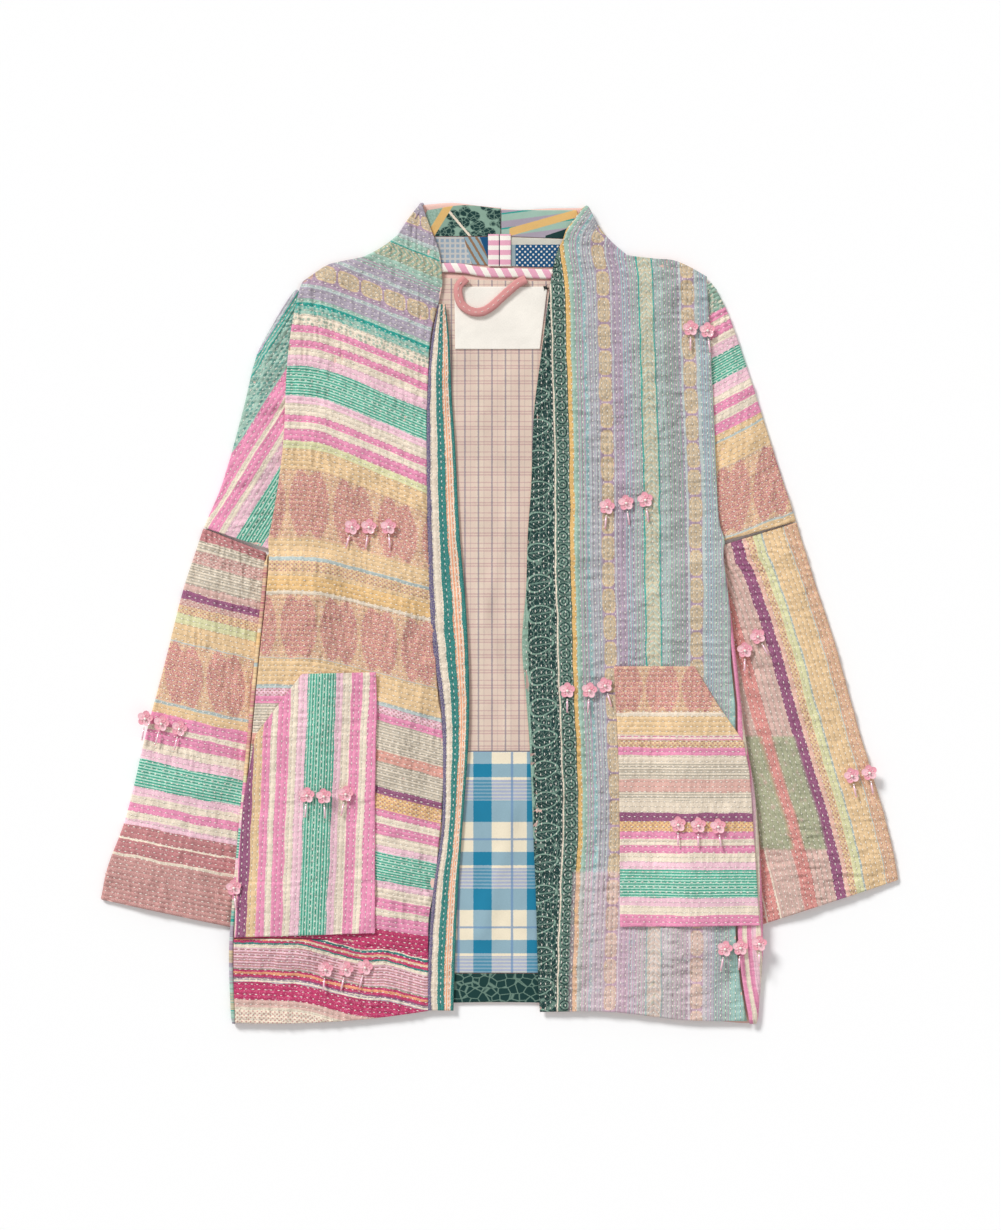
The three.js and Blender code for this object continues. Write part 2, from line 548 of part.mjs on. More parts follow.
// Each is [x, y of the flower, x and y of the bugle from it], on a surface.
const TRIMS = [
  ['front_right', frontTop, [[-147.5, 87, -4, -16], [-130.5, 87, -2, -16], [-110.5, 87, 1, -16]]],
  ['sleeve_right', onSleeve, [[-353.5, -104, -2, -16], [-337.5, -109, -4, -16], [-319.5, -114, -3, -15]]],
  ['pocket_right', onPocket, [[-191.5, -180, -1, -16], [-174.5, -181, 1, -17], [-153.5, -179, -3, -17]]],
  ['hem_right', frontTop, [[-173.5, -354, -1.5, -16], [-153.5, -354, -3, -15], [-134.5, -352, -3, -13]]],
  ['side_right', onPocket, [[-264, -272, 1.5, -16]]],
  ['shoulder_left', frontTop, [[190.5, 285, 0, -17], [207.5, 283, 2, -18]]],
  ['front_left_upper', frontTop, [[107, 107, -1, -15], [126.5, 111, 2, -15], [145.5, 114, 2.5, -18]]],
  ['front_left_lower', frontTop, [[67.5, -76, 0, -16], [89.5, -76, -1, -16], [105.5, -71, 4, -14]]],
  ['pocket_left', onPocket, [[177.5, -209, 0, -15], [197.5, -210, 0, -15], [217.5, -211, 2, -15]]],
  ['sleeve_left_upper', onSleeve, [[244.5, -36, 0, -11], [257.5, -22, 7, -13]]],
  ['sleeve_left_lower', onSleeve, [[351.5, -161, 3, -16], [369, -158, 2.5, -16]]],
  ['hem_left', frontTop, [[224, -333, -2.5, -15], [239.6, -332, -1, -15], [258.5, -328, 0, -13]]],
];

function flowerTrim([x, y, dx, dy], surface) {
  const aim = Math.atan2(dy, dx);
  const outline = [];
  const points = 20;
  const stem = 0.16;
  for (let i = 0; i <= points; i += 1) {
    const angle = stem + ((2 * Math.PI - 2 * stem) * i) / points;
    const reach = PETAL_REACH * (0.86 + 0.14 * Math.cos(5 * (angle - Math.PI)));
    outline.push(new THREE.Vector2(reach * Math.cos(angle), reach * Math.sin(angle)));
  }
  const { from, to, halfWidth } = BUGLE;
  outline.push(new THREE.Vector2(from, -halfWidth), new THREE.Vector2(to, -halfWidth));
  outline.push(new THREE.Vector2(to, halfWidth), new THREE.Vector2(from, halfWidth));
  const solid = { depth: TRIM_HEIGHT, bevelEnabled: false };
  const geometry = new THREE.ExtrudeGeometry(new THREE.Shape(outline), solid);
  const around = [[0, 0], [-6, 0], [6, 0], [0, -6], [0, 6], [dx, dy], [1.3 * dx, 1.3 * dy]];
  const rest = Math.max(...around.map(([ox, oy]) => surface(x + ox, y + oy))) + TRIM_LIFT;
  geometry.rotateZ(aim);
  geometry.translate(x, y, rest);
  return geometry;
}

for (const [place, surface, flowers] of TRIMS) {
  flowers.forEach((flower, i) => addPiece(`flower_${place}_${i + 1}`, flowerTrim(flower, surface), 'bead'));
}

export default jacket;
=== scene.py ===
"""Looks of a kantha-quilted patchwork jacket that lies open-fronted on its back.

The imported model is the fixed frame. Every cloth piece is rebuilt here as a fine quilted shell in the
place of its plain solid, in millimetres, and turned into metres when its mesh is made. +X is the
wearer's left, +Y runs from hem to collar and +Z is up from the surface.
"""

import logging
import math
from dataclasses import dataclass, field
from enum import Enum
from typing import Callable, Sequence

import bpy
import numpy as np
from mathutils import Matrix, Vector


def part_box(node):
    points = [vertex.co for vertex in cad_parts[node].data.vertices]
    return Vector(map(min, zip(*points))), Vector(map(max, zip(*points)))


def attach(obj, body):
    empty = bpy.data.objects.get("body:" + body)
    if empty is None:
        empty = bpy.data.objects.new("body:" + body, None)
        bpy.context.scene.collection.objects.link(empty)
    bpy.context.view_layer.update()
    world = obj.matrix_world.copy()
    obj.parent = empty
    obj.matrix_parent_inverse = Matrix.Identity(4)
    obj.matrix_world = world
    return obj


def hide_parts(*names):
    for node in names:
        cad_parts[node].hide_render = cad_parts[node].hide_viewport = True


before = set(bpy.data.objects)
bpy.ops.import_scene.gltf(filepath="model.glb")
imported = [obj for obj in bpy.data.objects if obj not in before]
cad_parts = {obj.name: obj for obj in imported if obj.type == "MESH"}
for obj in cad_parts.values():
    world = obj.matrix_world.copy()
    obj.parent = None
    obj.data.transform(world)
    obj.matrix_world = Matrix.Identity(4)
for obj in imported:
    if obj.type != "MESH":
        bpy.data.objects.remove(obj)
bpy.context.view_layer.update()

LOG = logging.getLogger("jacket")
MM = 0.001
ROW_PITCH = 5.0
WEAVE_START = 450.0
Array = np.ndarray
Point = tuple[float, float]


# ---------------------------------------------------------------------------
# Curves, steps and noise
# ---------------------------------------------------------------------------


def ease(start: float, end: float, value: Array | float) -> Array:
    """Smooth step from 0 at start to 1 at end, whichever is larger.

    Args:
        start: Value where the step is 0.
        end: Value where the step is 1.
        value: Where to read the step.

    Returns:
        The step, between 0 and 1.
    """
    t = np.clip((np.asarray(value, float) - start) / (end - start), 0.0, 1.0)
    return t * t * (3.0 - 2.0 * t)


def through(points: Sequence[Point], key: Array | float) -> Array:
    """A smooth curve through (key, value) points.

    Args:
        points: The points, with rising keys.
        key: Where to read the curve.

    Returns:
        The curve's values, held level beyond its ends.
    """
    keys = np.array([p[0] for p in points], float)
    values = np.array([p[1] for p in points], float)
    slopes = np.empty_like(values)
    slopes[1:-1] = (values[2:] - values[:-2]) / (keys[2:] - keys[:-2])
    slopes[0] = (values[1] - values[0]) / (keys[1] - keys[0])
    slopes[-1] = (values[-1] - values[-2]) / (keys[-1] - keys[-2])
    at = np.clip(np.asarray(key, float), keys[0], keys[-1])
    i = np.clip(np.searchsorted(keys, at, side="right") - 1, 0, len(keys) - 2)
    span = keys[i + 1] - keys[i]
    t = (at - keys[i]) / span
    p, q = values[i], values[i + 1]
    m, n = slopes[i] * span, slopes[i + 1] * span
    return p + t * m + t * t * (3 * (q - p) - 2 * m - n) + t**3 * (2 * (p - q) + m + n)


def edge_x(edge: Sequence[Point], y: Array | float) -> Array:
    """X of an outline given as (x, y) points, read at heights y."""
    return through([(p[1], p[0]) for p in edge], y)


def smooth_path(points: Sequence[Sequence[float]], at: Array, tension: float = 0.5) -> Array:
    """Points of a Catmull-Rom path, evenly keyed by its control points.

    Args:
        points: Control points, each a sequence of numbers.
        at: Places along the path, from 0 to 1.
        tension: 0 gives straight runs, 0.5 the usual curve.

    Returns:
        One row for each place.
    """
    p = np.asarray(points, float)
    ends = np.vstack([2 * p[0] - p[1], p, 2 * p[-1] - p[-2]])
    s = np.clip(np.asarray(at, float), 0, 1) * (len(p) - 1)
    i = np.minimum(s.astype(int), len(p) - 2)
    t = (s - i)[:, None]
    a, b, c, d = ends[i], ends[i + 1], ends[i + 2], ends[i + 3]
    m, n = tension * (c - a), tension * (d - b)
    return b + t * m + t**2 * (3 * (c - b) - 2 * m - n) + t**3 * (2 * (b - c) + m + n)


def soft_noise(x: Array, y: Array, scale: float, seed: int) -> Array:
    """Smooth random relief, the same at every run.

    Args:
        x: First coordinates.
        y: Second coordinates.
        scale: Size of one swelling.
        seed: Which relief.

    Returns:
        Values from -1 to 1.
    """
    gx, gy = np.asarray(x, float) / scale, np.asarray(y, float) / scale
    ix, iy = np.floor(gx).astype(np.int64), np.floor(gy).astype(np.int64)

    def corner(i: Array, j: Array) -> Array:
        """One random value for each lattice corner.

        Args:
            i: Lattice columns.
            j: Lattice rows.

        Returns:
            Values from -1 to 1.
        """
        mixed = (i * 73856093) ^ (j * 19349663) ^ (seed * 83492791 + 12345)
        mixed = (mixed ^ (mixed >> 13)) * 1274126177
        return ((mixed ^ (mixed >> 16)) & 0xFFFF) / 32767.5 - 1.0

    fx, fy = gx - ix, gy - iy
    wx, wy = fx * fx * (3 - 2 * fx), fy * fy * (3 - 2 * fy)
    low = corner(ix, iy) * (1 - wx) + corner(ix + 1, iy) * wx
    high = corner(ix, iy + 1) * (1 - wx) + corner(ix + 1, iy + 1) * wx
    return low * (1 - wy) + high * wy


# ---------------------------------------------------------------------------
# Shader graphs
# ---------------------------------------------------------------------------


class Graph:
    """A material's node tree, built by adding nodes from code."""

    def __init__(self, name: str) -> None:
        """Start a material with an empty node tree.

        Args:
            name: The material's name.
        """
        self.material = bpy.data.materials.new(name)
        self.material.use_nodes = True
        self.tree = self.material.node_tree
        self.tree.nodes.clear()

    def add(self, kind: str, settings: dict | None = None, inputs: dict | None = None,
            out: int | str = 0) -> "Wire":
        """Add one node.

        Args:
            kind: The node's type, without its ShaderNode prefix.
            settings: Its settings, set first. A ramp's stops are (position, colour) pairs.
            inputs: Values or wires by socket name or number.
            out: Which output to return.

        Returns:
            The node's output, or an empty wire if it has none.
        """
        node = self.tree.nodes.new("ShaderNode" + kind)
        for key, value in (settings or {}).items():
            if key == "stops":
                self._fill_ramp(node.color_ramp, value)
            elif key == "interpolation":
                node.color_ramp.interpolation = value
            else:
                setattr(node, key, value)
        for key, value in (inputs or {}).items():
            if isinstance(value, Wire):
                self.tree.links.new(value.socket, node.inputs[key])
            else:
                node.inputs[key].default_value = value
        return Wire(self, node.outputs[out] if node.outputs else None)

    @staticmethod
    def _fill_ramp(ramp: bpy.types.ColorRamp, stops: Sequence[tuple[float, Sequence[float]]]) -> None:
        """Put the stops into a colour ramp."""
        while len(ramp.elements) < len(stops):
            ramp.elements.new(1.0)
        for element, (position, colour) in zip(ramp.elements, stops):
            element.position = position
            element.color = (*colour, 1.0)

    def mix(self, factor: "Wire | float", a: "Wire | Dye", b: "Wire | Dye") -> "Wire":
        """Blend two colours."""
        first, second = (c if isinstance(c, Wire) else (*c.linear(), 1.0) for c in (a, b))
        return self.add("Mix", {"data_type": "RGBA"}, {0: factor, 6: first, 7: second}, out=2)

    def shade(self, colour: "Wire | Sequence[float]", value: "Wire") -> "Wire":
        """Multiply a colour by a value."""
        return self.add("VectorMath", {"operation": "SCALE"}, {0: colour, 3: value})

    def vector(self, x: "Wire | float", y: "Wire | float", z: "Wire | float" = 0.0) -> "Wire":
        """Join three values into a vector."""
        return self.add("CombineXYZ", None, {0: x, 1: y, 2: z})

    def noise(self, x: "Wire", y: "Wire", scale: float, detail: float = 2.0, seed: float = 0.0) -> "Wire":
        """Noise over a plane, from 0 to 1."""
        at = self.vector(x * scale, y * scale, seed)
        return self.add("TexNoise", {"noise_dimensions": "3D"},
                        {"Vector": at, "Scale": 1.0, "Detail": detail})

    def cells(self, x: "Wire", y: "Wire", feature: str, randomness: float = 1.0, seed: float = 0.0) -> "Wire":
        """Cell pattern over a plane: distance to a cell's point, or to its edge."""
        at = self.vector(x, y, seed)
        return self.add("TexVoronoi", {"voronoi_dimensions": "3D", "feature": feature},
                        {"Vector": at, "Scale": 1.0, "Randomness": randomness},
                        out="Distance")

    def finish(self, colour: "Wire | Sequence[float]", roughness: "Wire | float",
               height: "Wire | None" = None,
               relief_mm: float = 0.4, metallic: float = 0.0, coat: float = 0.0,
               sheen: float = 0.0) -> bpy.types.Material:
        """Close the graph with a surface.

        Args:
            colour: Base colour.
            roughness: Roughness.
            height: Bump height from 0 to 1.
            relief_mm: What a height of 1 stands for.
            metallic: Metallic value.
            coat: Clear coat weight.
            sheen: Sheen weight.

        Returns:
            The material.
        """
        inputs = {"Base Color": colour if isinstance(colour, Wire) else (*colour, 1.0),
                  "Roughness": roughness,
                  "Metallic": metallic, "Coat Weight": coat, "Sheen Weight": sheen, "Specular IOR Level": 0.3}
        if height is not None:
            inputs["Normal"] = self.add("Bump", None,
                                        {"Strength": 1.0, "Distance": relief_mm * MM, "Height": height})
        self.add("OutputMaterial", None, {0: self.add("BsdfPrincipled", None, inputs)})
        return self.material


class Wire:
    """An output socket that can be used in sums."""

    def __init__(self, graph: Graph, socket: bpy.types.NodeSocket | None) -> None:
        """Wrap a socket of a graph."""
        self.graph = graph
        self.socket = socket

    def _math(self, operation: str, *values: "Wire | float") -> "Wire":
        """Add a Math node."""
        return self.graph.add("Math", {"operation": operation}, dict(enumerate(values)))

    def __add__(self, other: "Wire | float") -> "Wire":
        """Sum."""
        return self._math("ADD", self, other)

    __radd__ = __add__

    def __sub__(self, other: "Wire | float") -> "Wire":
        """Difference."""
        return self._math("SUBTRACT", self, other)

    def __rsub__(self, other: float) -> "Wire":
        """Difference from a number."""
        return self._math("SUBTRACT", other, self)

    def __mul__(self, other: "Wire | float") -> "Wire":
        """Product."""
        return self._math("MULTIPLY", self, other)

    __rmul__ = __mul__

    def __truediv__(self, other: "Wire | float") -> "Wire":
        """Quotient."""
        return self._math("DIVIDE", self, other)

    def __pow__(self, other: float) -> "Wire":
        """Power."""
        return self._math("POWER", self, other)

    def __gt__(self, other: "Wire | float") -> "Wire":
        """1 where this is greater."""
        return self._math("GREATER_THAN", self, other)

    def __lt__(self, other: "Wire | float") -> "Wire":
        """1 where this is less."""
        return self._math("LESS_THAN", self, other)

    def __abs__(self) -> "Wire":
        """Absolute value."""
        return self._math("ABSOLUTE", self)

    def wave(self, length: float) -> "Wire":
        """A sine wave of that length, from -1 to 1."""
        return self._math("SINE", self * (2 * math.pi / length))

    def repeat(self, length: float) -> "Wire":
        """Place within a repeat, from 0 to 1."""
        return self._math("FRACT", self / length)

    def within(self, half: float, soft: float) -> "Wire":
        """1 inside half of zero, fading to 0 over soft."""
        return abs(self).step(half + soft, half)

    def near(self, value: float) -> "Wire":
        """1 where this is within a half of a value."""
        return self._math("COMPARE", self, value, 0.5)

    def larger(self, other: "Wire | float") -> "Wire":
        """The larger of two."""
        return self._math("MAXIMUM", self, other)

    def step(self, start: float, end: float) -> "Wire":
        """Smooth step from 0 at start to 1 at end."""
        return self.graph.add("MapRange", {"interpolation_type": "SMOOTHSTEP"},
                              {"Value": self, "From Min": start, "From Max": end, "To Min": 0.0,
                               "To Max": 1.0})

    def parts(self) -> tuple["Wire", "Wire", "Wire"]:
        """The three parts of a vector.

        Returns:
            The parts.
        """
        first = self.graph.add("SeparateXYZ", None, {0: self})
        node = first.socket.node
        return first, Wire(self.graph, node.outputs[1]), Wire(self.graph, node.outputs[2])


Plane = tuple[Wire, Wire]

# ---------------------------------------------------------------------------
# Dyes, weaves and charts
# ---------------------------------------------------------------------------


class Dye(Enum):
    """Yarn and print colours, as web colours."""

    MINT = "9DBBAC"
    AQUA = "98BBBA"
    SAGE = "88A695"
    LAVENDER = "A69CA9"
    MAUVE = "AC93A6"
    TEAL = "2F9C90"
    BEIGE = "D2B993"
    ICE = "B2BEBB"
    MUSTARD = "DFB572"
    FOREST = "123836"
    PEBBLE = "B4BFAF"
    CREAM = "E5D6C2"
    PINK = "E08EAE"
    BLUSH = "E9BFCB"
    GREEN = "3C9C83"
    FOAM = "B5DAC8"
    YELLOW = "E0C095"
    GOLD = "E3BC85"
    LIME = "D6D3A6"
    ROSE = "BE7880"
    CRIMSON = "B04A60"
    STRAW = "DDBE94"
    ECRU = "DDC7B7"
    INDIGO = "45397A"
    PLUM = "925778"
    STONE = "DECFBB"
    GREY = "AEA697"
    SALMON = "DDA294"
    ORANGE = "E9A27C"
    PINE = "35807A"
    MAGENTA = "BA3A66"
    BRICK = "B97F7D"
    DUSTY = "D2AEA4"
    TAUPE = "B6A295"
    NAVY = "0F4E78"
    STEEL = "7FA6B8"
    WHITE = "F4EEE4"
    OLIVE = "98A682"
    BROWN = "8E6E52"
    PEARLPINK = "EFA3B2"
    SHELL = "F6C2CB"
    AZURE = "1B7C9E"
    IVORY = "EDE1C8"
    PERIWINKLE = "8F9CC8"

    def linear(self) -> tuple[float, float, float]:
        """The colour in linear light."""
        channels = [int(self.value[i:i + 2], 16) / 255 for i in (0, 2, 4)]
        return tuple(c / 12.92 if c <= 0.04045 else ((c + 0.055) / 1.055) ** 2.4 for c in channels)


class Weave(Enum):
    """How a stripe's second colour shows in it."""

    PLAIN = 0
    LINES = 1
    SPECKLE = 2
    DOTS = 3
    FLECKS = 4
    FLORAL = 5
    RIBS = 6


@dataclass(frozen=True)
class Stripe:
    """One stripe of a chart."""

    width: float
    ground: Dye
    weave: Weave = Weave.PLAIN
    motif: Dye = Dye.WHITE

    @staticmethod
    def read(chart: str) -> tuple["Stripe", ...]:
        """Read a chart such as "8 pink, 6 cream, 27 green lines foam".

        Args:
            chart: Stripes parted by commas: width, ground, and if it has them weave and motif.

        Returns:
            The stripes in order.
        """
        stripes = []
        for entry in chart.split(","):
            words = entry.upper().split()
            stripe = Stripe(float(words[0]), Dye[words[1]])
            if len(words) > 2:
                stripe = Stripe(stripe.width, stripe.ground, Weave[words[2]], Dye[words[3]])
            stripes.append(stripe)
        return tuple(stripes)


class Motif(Enum):
    """Figures of a woven chain."""

    MEDALLION = "medallion"
    ARROW = "arrow"
    ROSETTE = "rosette"
    LEAF = "leaf"
    BLOOMS = "blooms"


@dataclass(frozen=True)
class Chain:
    """A row of woven figures that runs along the cloth."""

    centre: float
    half_width: float
    repeat: float
    figure: Motif
    ground: Dye
    motif: Dye

    def paint(self, graph: Graph, along: Wire, across: Wire, colour: Wire) -> Wire:
        """Lay the chain over a colour.

        Args:
            graph: The material's graph.
            along: Millimetres along the cloth.
            across: Millimetres across the cloth.
            colour: What the chain lies on.

        Returns:
            The colour with the chain.
        """
        v = (across - self.centre) / self.half_width
        u = (along.repeat(self.repeat) - 0.5) * 2.0
        inside = v.within(1.0, 0.08)
        figure = getattr(self, "_" + self.figure.value)
        return figure(graph, (along, across), (u, v), inside, colour)

    def _medallion(self, graph: Graph, at: Plane, unit: Plane, inside: Wire, colour: Wire) -> Wire:
        """Rounded squares of crossed lines, with small crosses between.

        Args:
            graph: The material's graph.
            at: Millimetres along and across the cloth.
            unit: Place in the figure, along and across, from -1 to 1.
            inside: 1 inside the chain.
            colour: What the chain lies on.

        Returns:
            The colour with the chain.
        """
        u, v = unit
        grain = graph.noise(*at, 1.1, 1.0)
        a, b = abs(u) * 1.06, abs(v) * 1.02
        blob = (a ** 4.5 + b ** 3.5).step(1.0, 0.84)
        radius = (a * a + b * b) ** 0.5
        half = abs(a - 0.5)
        lines = (half * 1.9 - b).within(0.05, 0.07).larger((radius - 0.72).within(0.04, 0.07))
        lines = lines.larger(u.within(0.03, 0.05)).larger((a + b - 0.42).within(0.05, 0.06))
        figure = graph.mix(lines * 0.62 + (grain > 0.55) * 0.14, self.ground, Dye.GREY)
        cross = (1.0 - abs(u)).step(0.16, 0.04) * b.step(0.75, 0.4)
        surround = graph.mix(inside * (cross * 0.7 + 0.2), colour, self.motif)
        return graph.mix(inside * blob * 0.95, surround, figure)

    def _arrow(self, graph: Graph, at: Plane, unit: Plane, inside: Wire, colour: Wire) -> Wire:
        """Worn chevrons, parted by cross bars.

        Args:
            graph: The material's graph.
            at: Millimetres along and across the cloth.
            unit: Place in the figure, along and across, from -1 to 1.
            inside: 1 inside the chain.
            colour: What the chain lies on.

        Returns:
            The colour with the chain.
        """
        u, v = unit
        grain = graph.noise(*at, 1.1, 1.0)
        chevron = ((at[0] + abs(v) * self.half_width * 0.9).repeat(5.2) - 0.5).within(0.2, 0.14)
        cross = (1.0 - abs(u)).step(0.1, 0.04)
        worn = chevron * (grain * 0.7 + 0.2) * inside
        ground = graph.mix(inside, colour, self.ground)
        return graph.mix(worn.larger(cross * inside * 0.6), ground, self.motif)

    def _rosette(self, graph: Graph, at: Plane, unit: Plane, inside: Wire, colour: Wire) -> Wire:
        """Rings with a heart, on a flecked ground.

        Args:
            graph: The material's graph.
            at: Millimetres along and across the cloth.
            unit: Place in the figure, along and across, from -1 to 1.
            inside: 1 inside the chain.
            colour: What the chain lies on.

        Returns:
            The colour with the chain.
        """
        u, v = unit
        grain = graph.noise(*at, 1.1, 1.0)
        radius = (u * u * (self.repeat / 2 / self.half_width) ** 2 + v * v) ** 0.5
        ring = (radius - 0.5).within(0.1, 0.06)
        heart = radius.step(0.24, 0.12)
        bar = (1.0 - abs(u)).step(0.16, 0.06)
        outside = (radius > 0.86) * (1.0 - bar * 0.6)
        light = (ring * 0.7).larger(heart * 0.8).larger(outside * (0.4 + grain * 0.5))
        return graph.mix(inside, colour, graph.mix(light * 0.85, self.ground, self.motif))

    def _leaf(self, graph: Graph, at: Plane, unit: Plane, inside: Wire, colour: Wire) -> Wire:
        """Leaning leaves with a vein and ribs, on a cracked ground.

        Args:
            graph: The material's graph.
            at: Millimetres along and across the cloth.
            unit: Place in the figure, along and across, from -1 to 1.
            inside: 1 inside the chain.
            colour: What the chain lies on.

        Returns:
            The colour with the chain.
        """
        u, v = unit
        lean = u - v * 0.16
        belly = (1.0 - v * 0.35) * 0.52
        body = (lean * lean / (belly * belly) + (v + 0.12) ** 2.0 * 1.2) ** 0.5
        outline = (body - 0.98).within(0.05, 0.06)
        vein = lean.within(0.025, 0.035) * (body < 0.85)
        ribs = ((v * 3.4 - abs(lean) * 5.0).repeat(1.0) - 0.5).within(0.07, 0.08) * (body < 0.8)
        blotch = graph.cells(at[0] * 0.13, at[1] * 0.17, "DISTANCE_TO_EDGE", 0.9).step(0.07, 0.02)
        gap = blotch * (body > 1.06)
        light = outline.larger(vein * 0.6).larger(ribs * 0.4).larger(gap * 0.6)
        return graph.mix(inside, colour, graph.mix(light * 0.85, self.ground, self.motif))

    def _blooms(self, graph: Graph, at: Plane, unit: Plane, inside: Wire, colour: Wire) -> Wire:
        """Large oval blooms, woven in flecks that thin out between them.

        Args:
            graph: The material's graph.
            at: Millimetres along and across the cloth.
            unit: Place in the figure, along and across, from -1 to 1.
            inside: 1 inside the chain.
            colour: What the chain lies on.

        Returns:
            The colour with the chain.
        """
        u, v = unit
        swing = (graph.noise(*at, 0.07, 1.0, 3.0) - 0.5) * 0.3
        reach = abs(v)
        notch = (1.0 - abs(u)) - (reach * reach * 0.4 + 0.07 + swing * 0.4)
        tip = abs(u) * 0.9 + (1.0 - reach) * 1.5 + swing
        bloom = notch.step(-0.05, 0.07) * tip.step(0.2, 0.34)
        fine = graph.noise(*at, 1.15, 1.0, 2.0)
        deep = graph.noise(*at, 0.9, 1.0, 8.0)
        shown = (fine + bloom * 0.095 - 0.05).step(0.46, 0.56)
        yarn = graph.mix(deep.step(0.5, 0.66) * (0.15 + bloom * 0.4), self.motif, Dye.CRIMSON)
        straw = graph.mix((deep > 0.6) * 0.5, self.ground, Dye.CREAM)
        return graph.mix(inside, colour, graph.mix(shown, straw, yarn))


@dataclass(frozen=True)
class StripedCloth:
    """Quilted cloth with woven stripes, read from the mesh's grain: along, across and outer side."""

    name: str
    chart: tuple[Stripe, ...]
    chains: tuple[Chain, ...] = ()
    ragged: float = 0.45
    waver: float = 0.9
    faded: float = 0.16
    # How strongly painted shade darkens the colour in the stitch rows' valleys.
    shaded_rows: float = 1.0
    patches: tuple[tuple[float, float, float, float, Dye, float], ...] = ()
    seed: float = 0.0

    STOPS = 30

    def _ramp(self, graph: Graph, place: Wire, values: Sequence[Sequence[float]]) -> Wire:
        """Step through one value for each stripe, over as many ramps as it takes.

        Args:
            graph: The material's graph.
            place: Place across the chart, from 0 to 1.
            values: One value for each stripe.

        Returns:
            The value at each place.
        """
        total = sum(stripe.width for stripe in self.chart)
        starts = np.concatenate([[0.0], np.cumsum([stripe.width for stripe in self.chart])[:-1]]) / total
        result = None
        for first in range(0, len(values), self.STOPS):
            stops = [(float(s), tuple(v)) for s, v in
                     zip(starts[first:first + self.STOPS], values[first:first + self.STOPS])]
            if len(stops) == 1:
                stops.append((1.0, stops[0][1]))
            ramp = graph.add("ValToRGB", {"stops": stops, "interpolation": "CONSTANT"}, {0: place})
            result = ramp if result is None else graph.mix(place > (stops[0][0] - 1e-6), result, ramp)
        return result

    @staticmethod
    def _mask(graph: Graph, weave: Weave, along: Wire, across: Wire, yarn: Wire) -> Wire:
        """Where a weave shows a stripe's second colour.

        Args:
            graph: The material's graph.
            weave: The weave.
            along: Millimetres along the cloth.
            across: Millimetres across the cloth.
            yarn: Fine noise of the threads.

        Returns:
            1 where the second colour shows.
        """
        if weave is Weave.LINES:
            return (across.repeat(2.75) - 0.5).within(0.17, 0.14) * (yarn.step(0.3, 0.5) * 0.5 + 0.5)
        if weave is Weave.SPECKLE:
            return yarn.step(0.44, 0.6) * 0.75
        if weave is Weave.DOTS:
            return (along.wave(4.4) * across.wave(4.2)).step(0.1, 0.5) * 0.8
        if weave is Weave.FLECKS:
            return graph.noise(along * 0.5, across * 1.6, 0.5, 1.0, 4.0).step(0.62, 0.68) * 0.7
        if weave is Weave.FLORAL:
            return graph.cells(along * 0.26, across * 0.26, "F1", 0.5).step(0.5, 0.3) * 0.7
        return (across.repeat(5.5) - 0.5).within(0.14, 0.16) * 0.6

    def material(self) -> bpy.types.Material:
        """Make the cloth's material.

        Returns:
            The material.
        """
        graph = Graph(self.name)
        total = sum(stripe.width for stripe in self.chart)
        grain = graph.add("Attribute", {"attribute_name": "grain"}, out="Vector")
        along, across, _ = grain.parts()
        drift = (graph.noise(along, across, 0.035, 2.0, self.seed) - 0.5) * (4.0 * self.waver)
        tooth = (graph.noise(along, across, 0.55, 1.0, self.seed + 5.0) - 0.5) * (3.0 * self.ragged)
        shifted = across + drift + tooth
        place = shifted / total
        ground = self._ramp(graph, place, [s.ground.linear() for s in self.chart])
        colour = ground
        weaves = {s.weave for s in self.chart}
        if weaves != {Weave.PLAIN}:
            second = self._ramp(graph, place, [s.motif.linear() for s in self.chart])
            code = self._ramp(graph, place, [(s.weave.value / 10,) * 3 for s in self.chart])
            code = graph.add("SeparateColor", None, {0: code}) * 10.0
            yarn = graph.noise(along, across, 1.3, 1.0, self.seed + 9.0)
            total_mask = None
            for weave in sorted(weaves - {Weave.PLAIN}, key=lambda w: w.value):
                mask = self._mask(graph, weave, along, across, yarn) * code.near(float(weave.value))
                total_mask = mask if total_mask is None else total_mask + mask
            colour = graph.mix(total_mask, colour, second)
        for chain in self.chains:
            colour = chain.paint(graph, along, shifted, colour)
        for left, right, low, high, dye, strength in self.patches:
            inside = (along - (left + right) / 2).within((right - left) / 2, 4.0)
            inside = inside * (across - (low + high) / 2).within((high - low) / 2, 4.0)
            worn = graph.noise(along, across, 0.12, 3.0, 7.0).step(0.2, 0.46)
            colour = graph.mix(inside * worn * strength, colour, dye)
        warp = graph.noise(along * 0.25, across, 2.2, 1.0, 1.0)
        weft = graph.noise(along, across * 0.25, 2.2, 1.0, 2.0)
        slub = graph.noise(along, across, 0.95, 1.0, self.seed + 12.0)
        colour = graph.mix(slub.step(0.6, 0.76) * 0.42, colour, Dye.WHITE)
        cloud = graph.noise(along, across, 0.018, 3.0, self.seed + 2.0)
        # Painted shade: the colour is darkened by up to a quarter in the valleys between stitch rows.
        valley = (abs(across.repeat(ROW_PITCH) - 0.5) - 0.5) * -1.0
        valley = valley.step(0.16, 0.0) * self.shaded_rows
        tone = (warp + weft) * 0.4 + slub * 0.35 + cloud * (2.0 * self.faded) + (0.5 - self.faded)
        # Painted shade and light: the colour follows the pleats' bump height, darker in their hollows and
        # lighter on their crests.
        pleats = graph.noise(along, across * 0.2, 0.3, 2.0, 6.0)
        tone = tone * (pleats * 0.5 + 0.75)
        colour = graph.shade(colour, tone * (1.01 - valley * 0.24))
        height = (warp + weft) * 0.25 + pleats * 0.75
        return graph.finish(colour, 0.88, height, relief_mm=1.2, sheen=0.1)


# ---------------------------------------------------------------------------
# How the jacket lies: outlines and heights, in millimetres
# ---------------------------------------------------------------------------

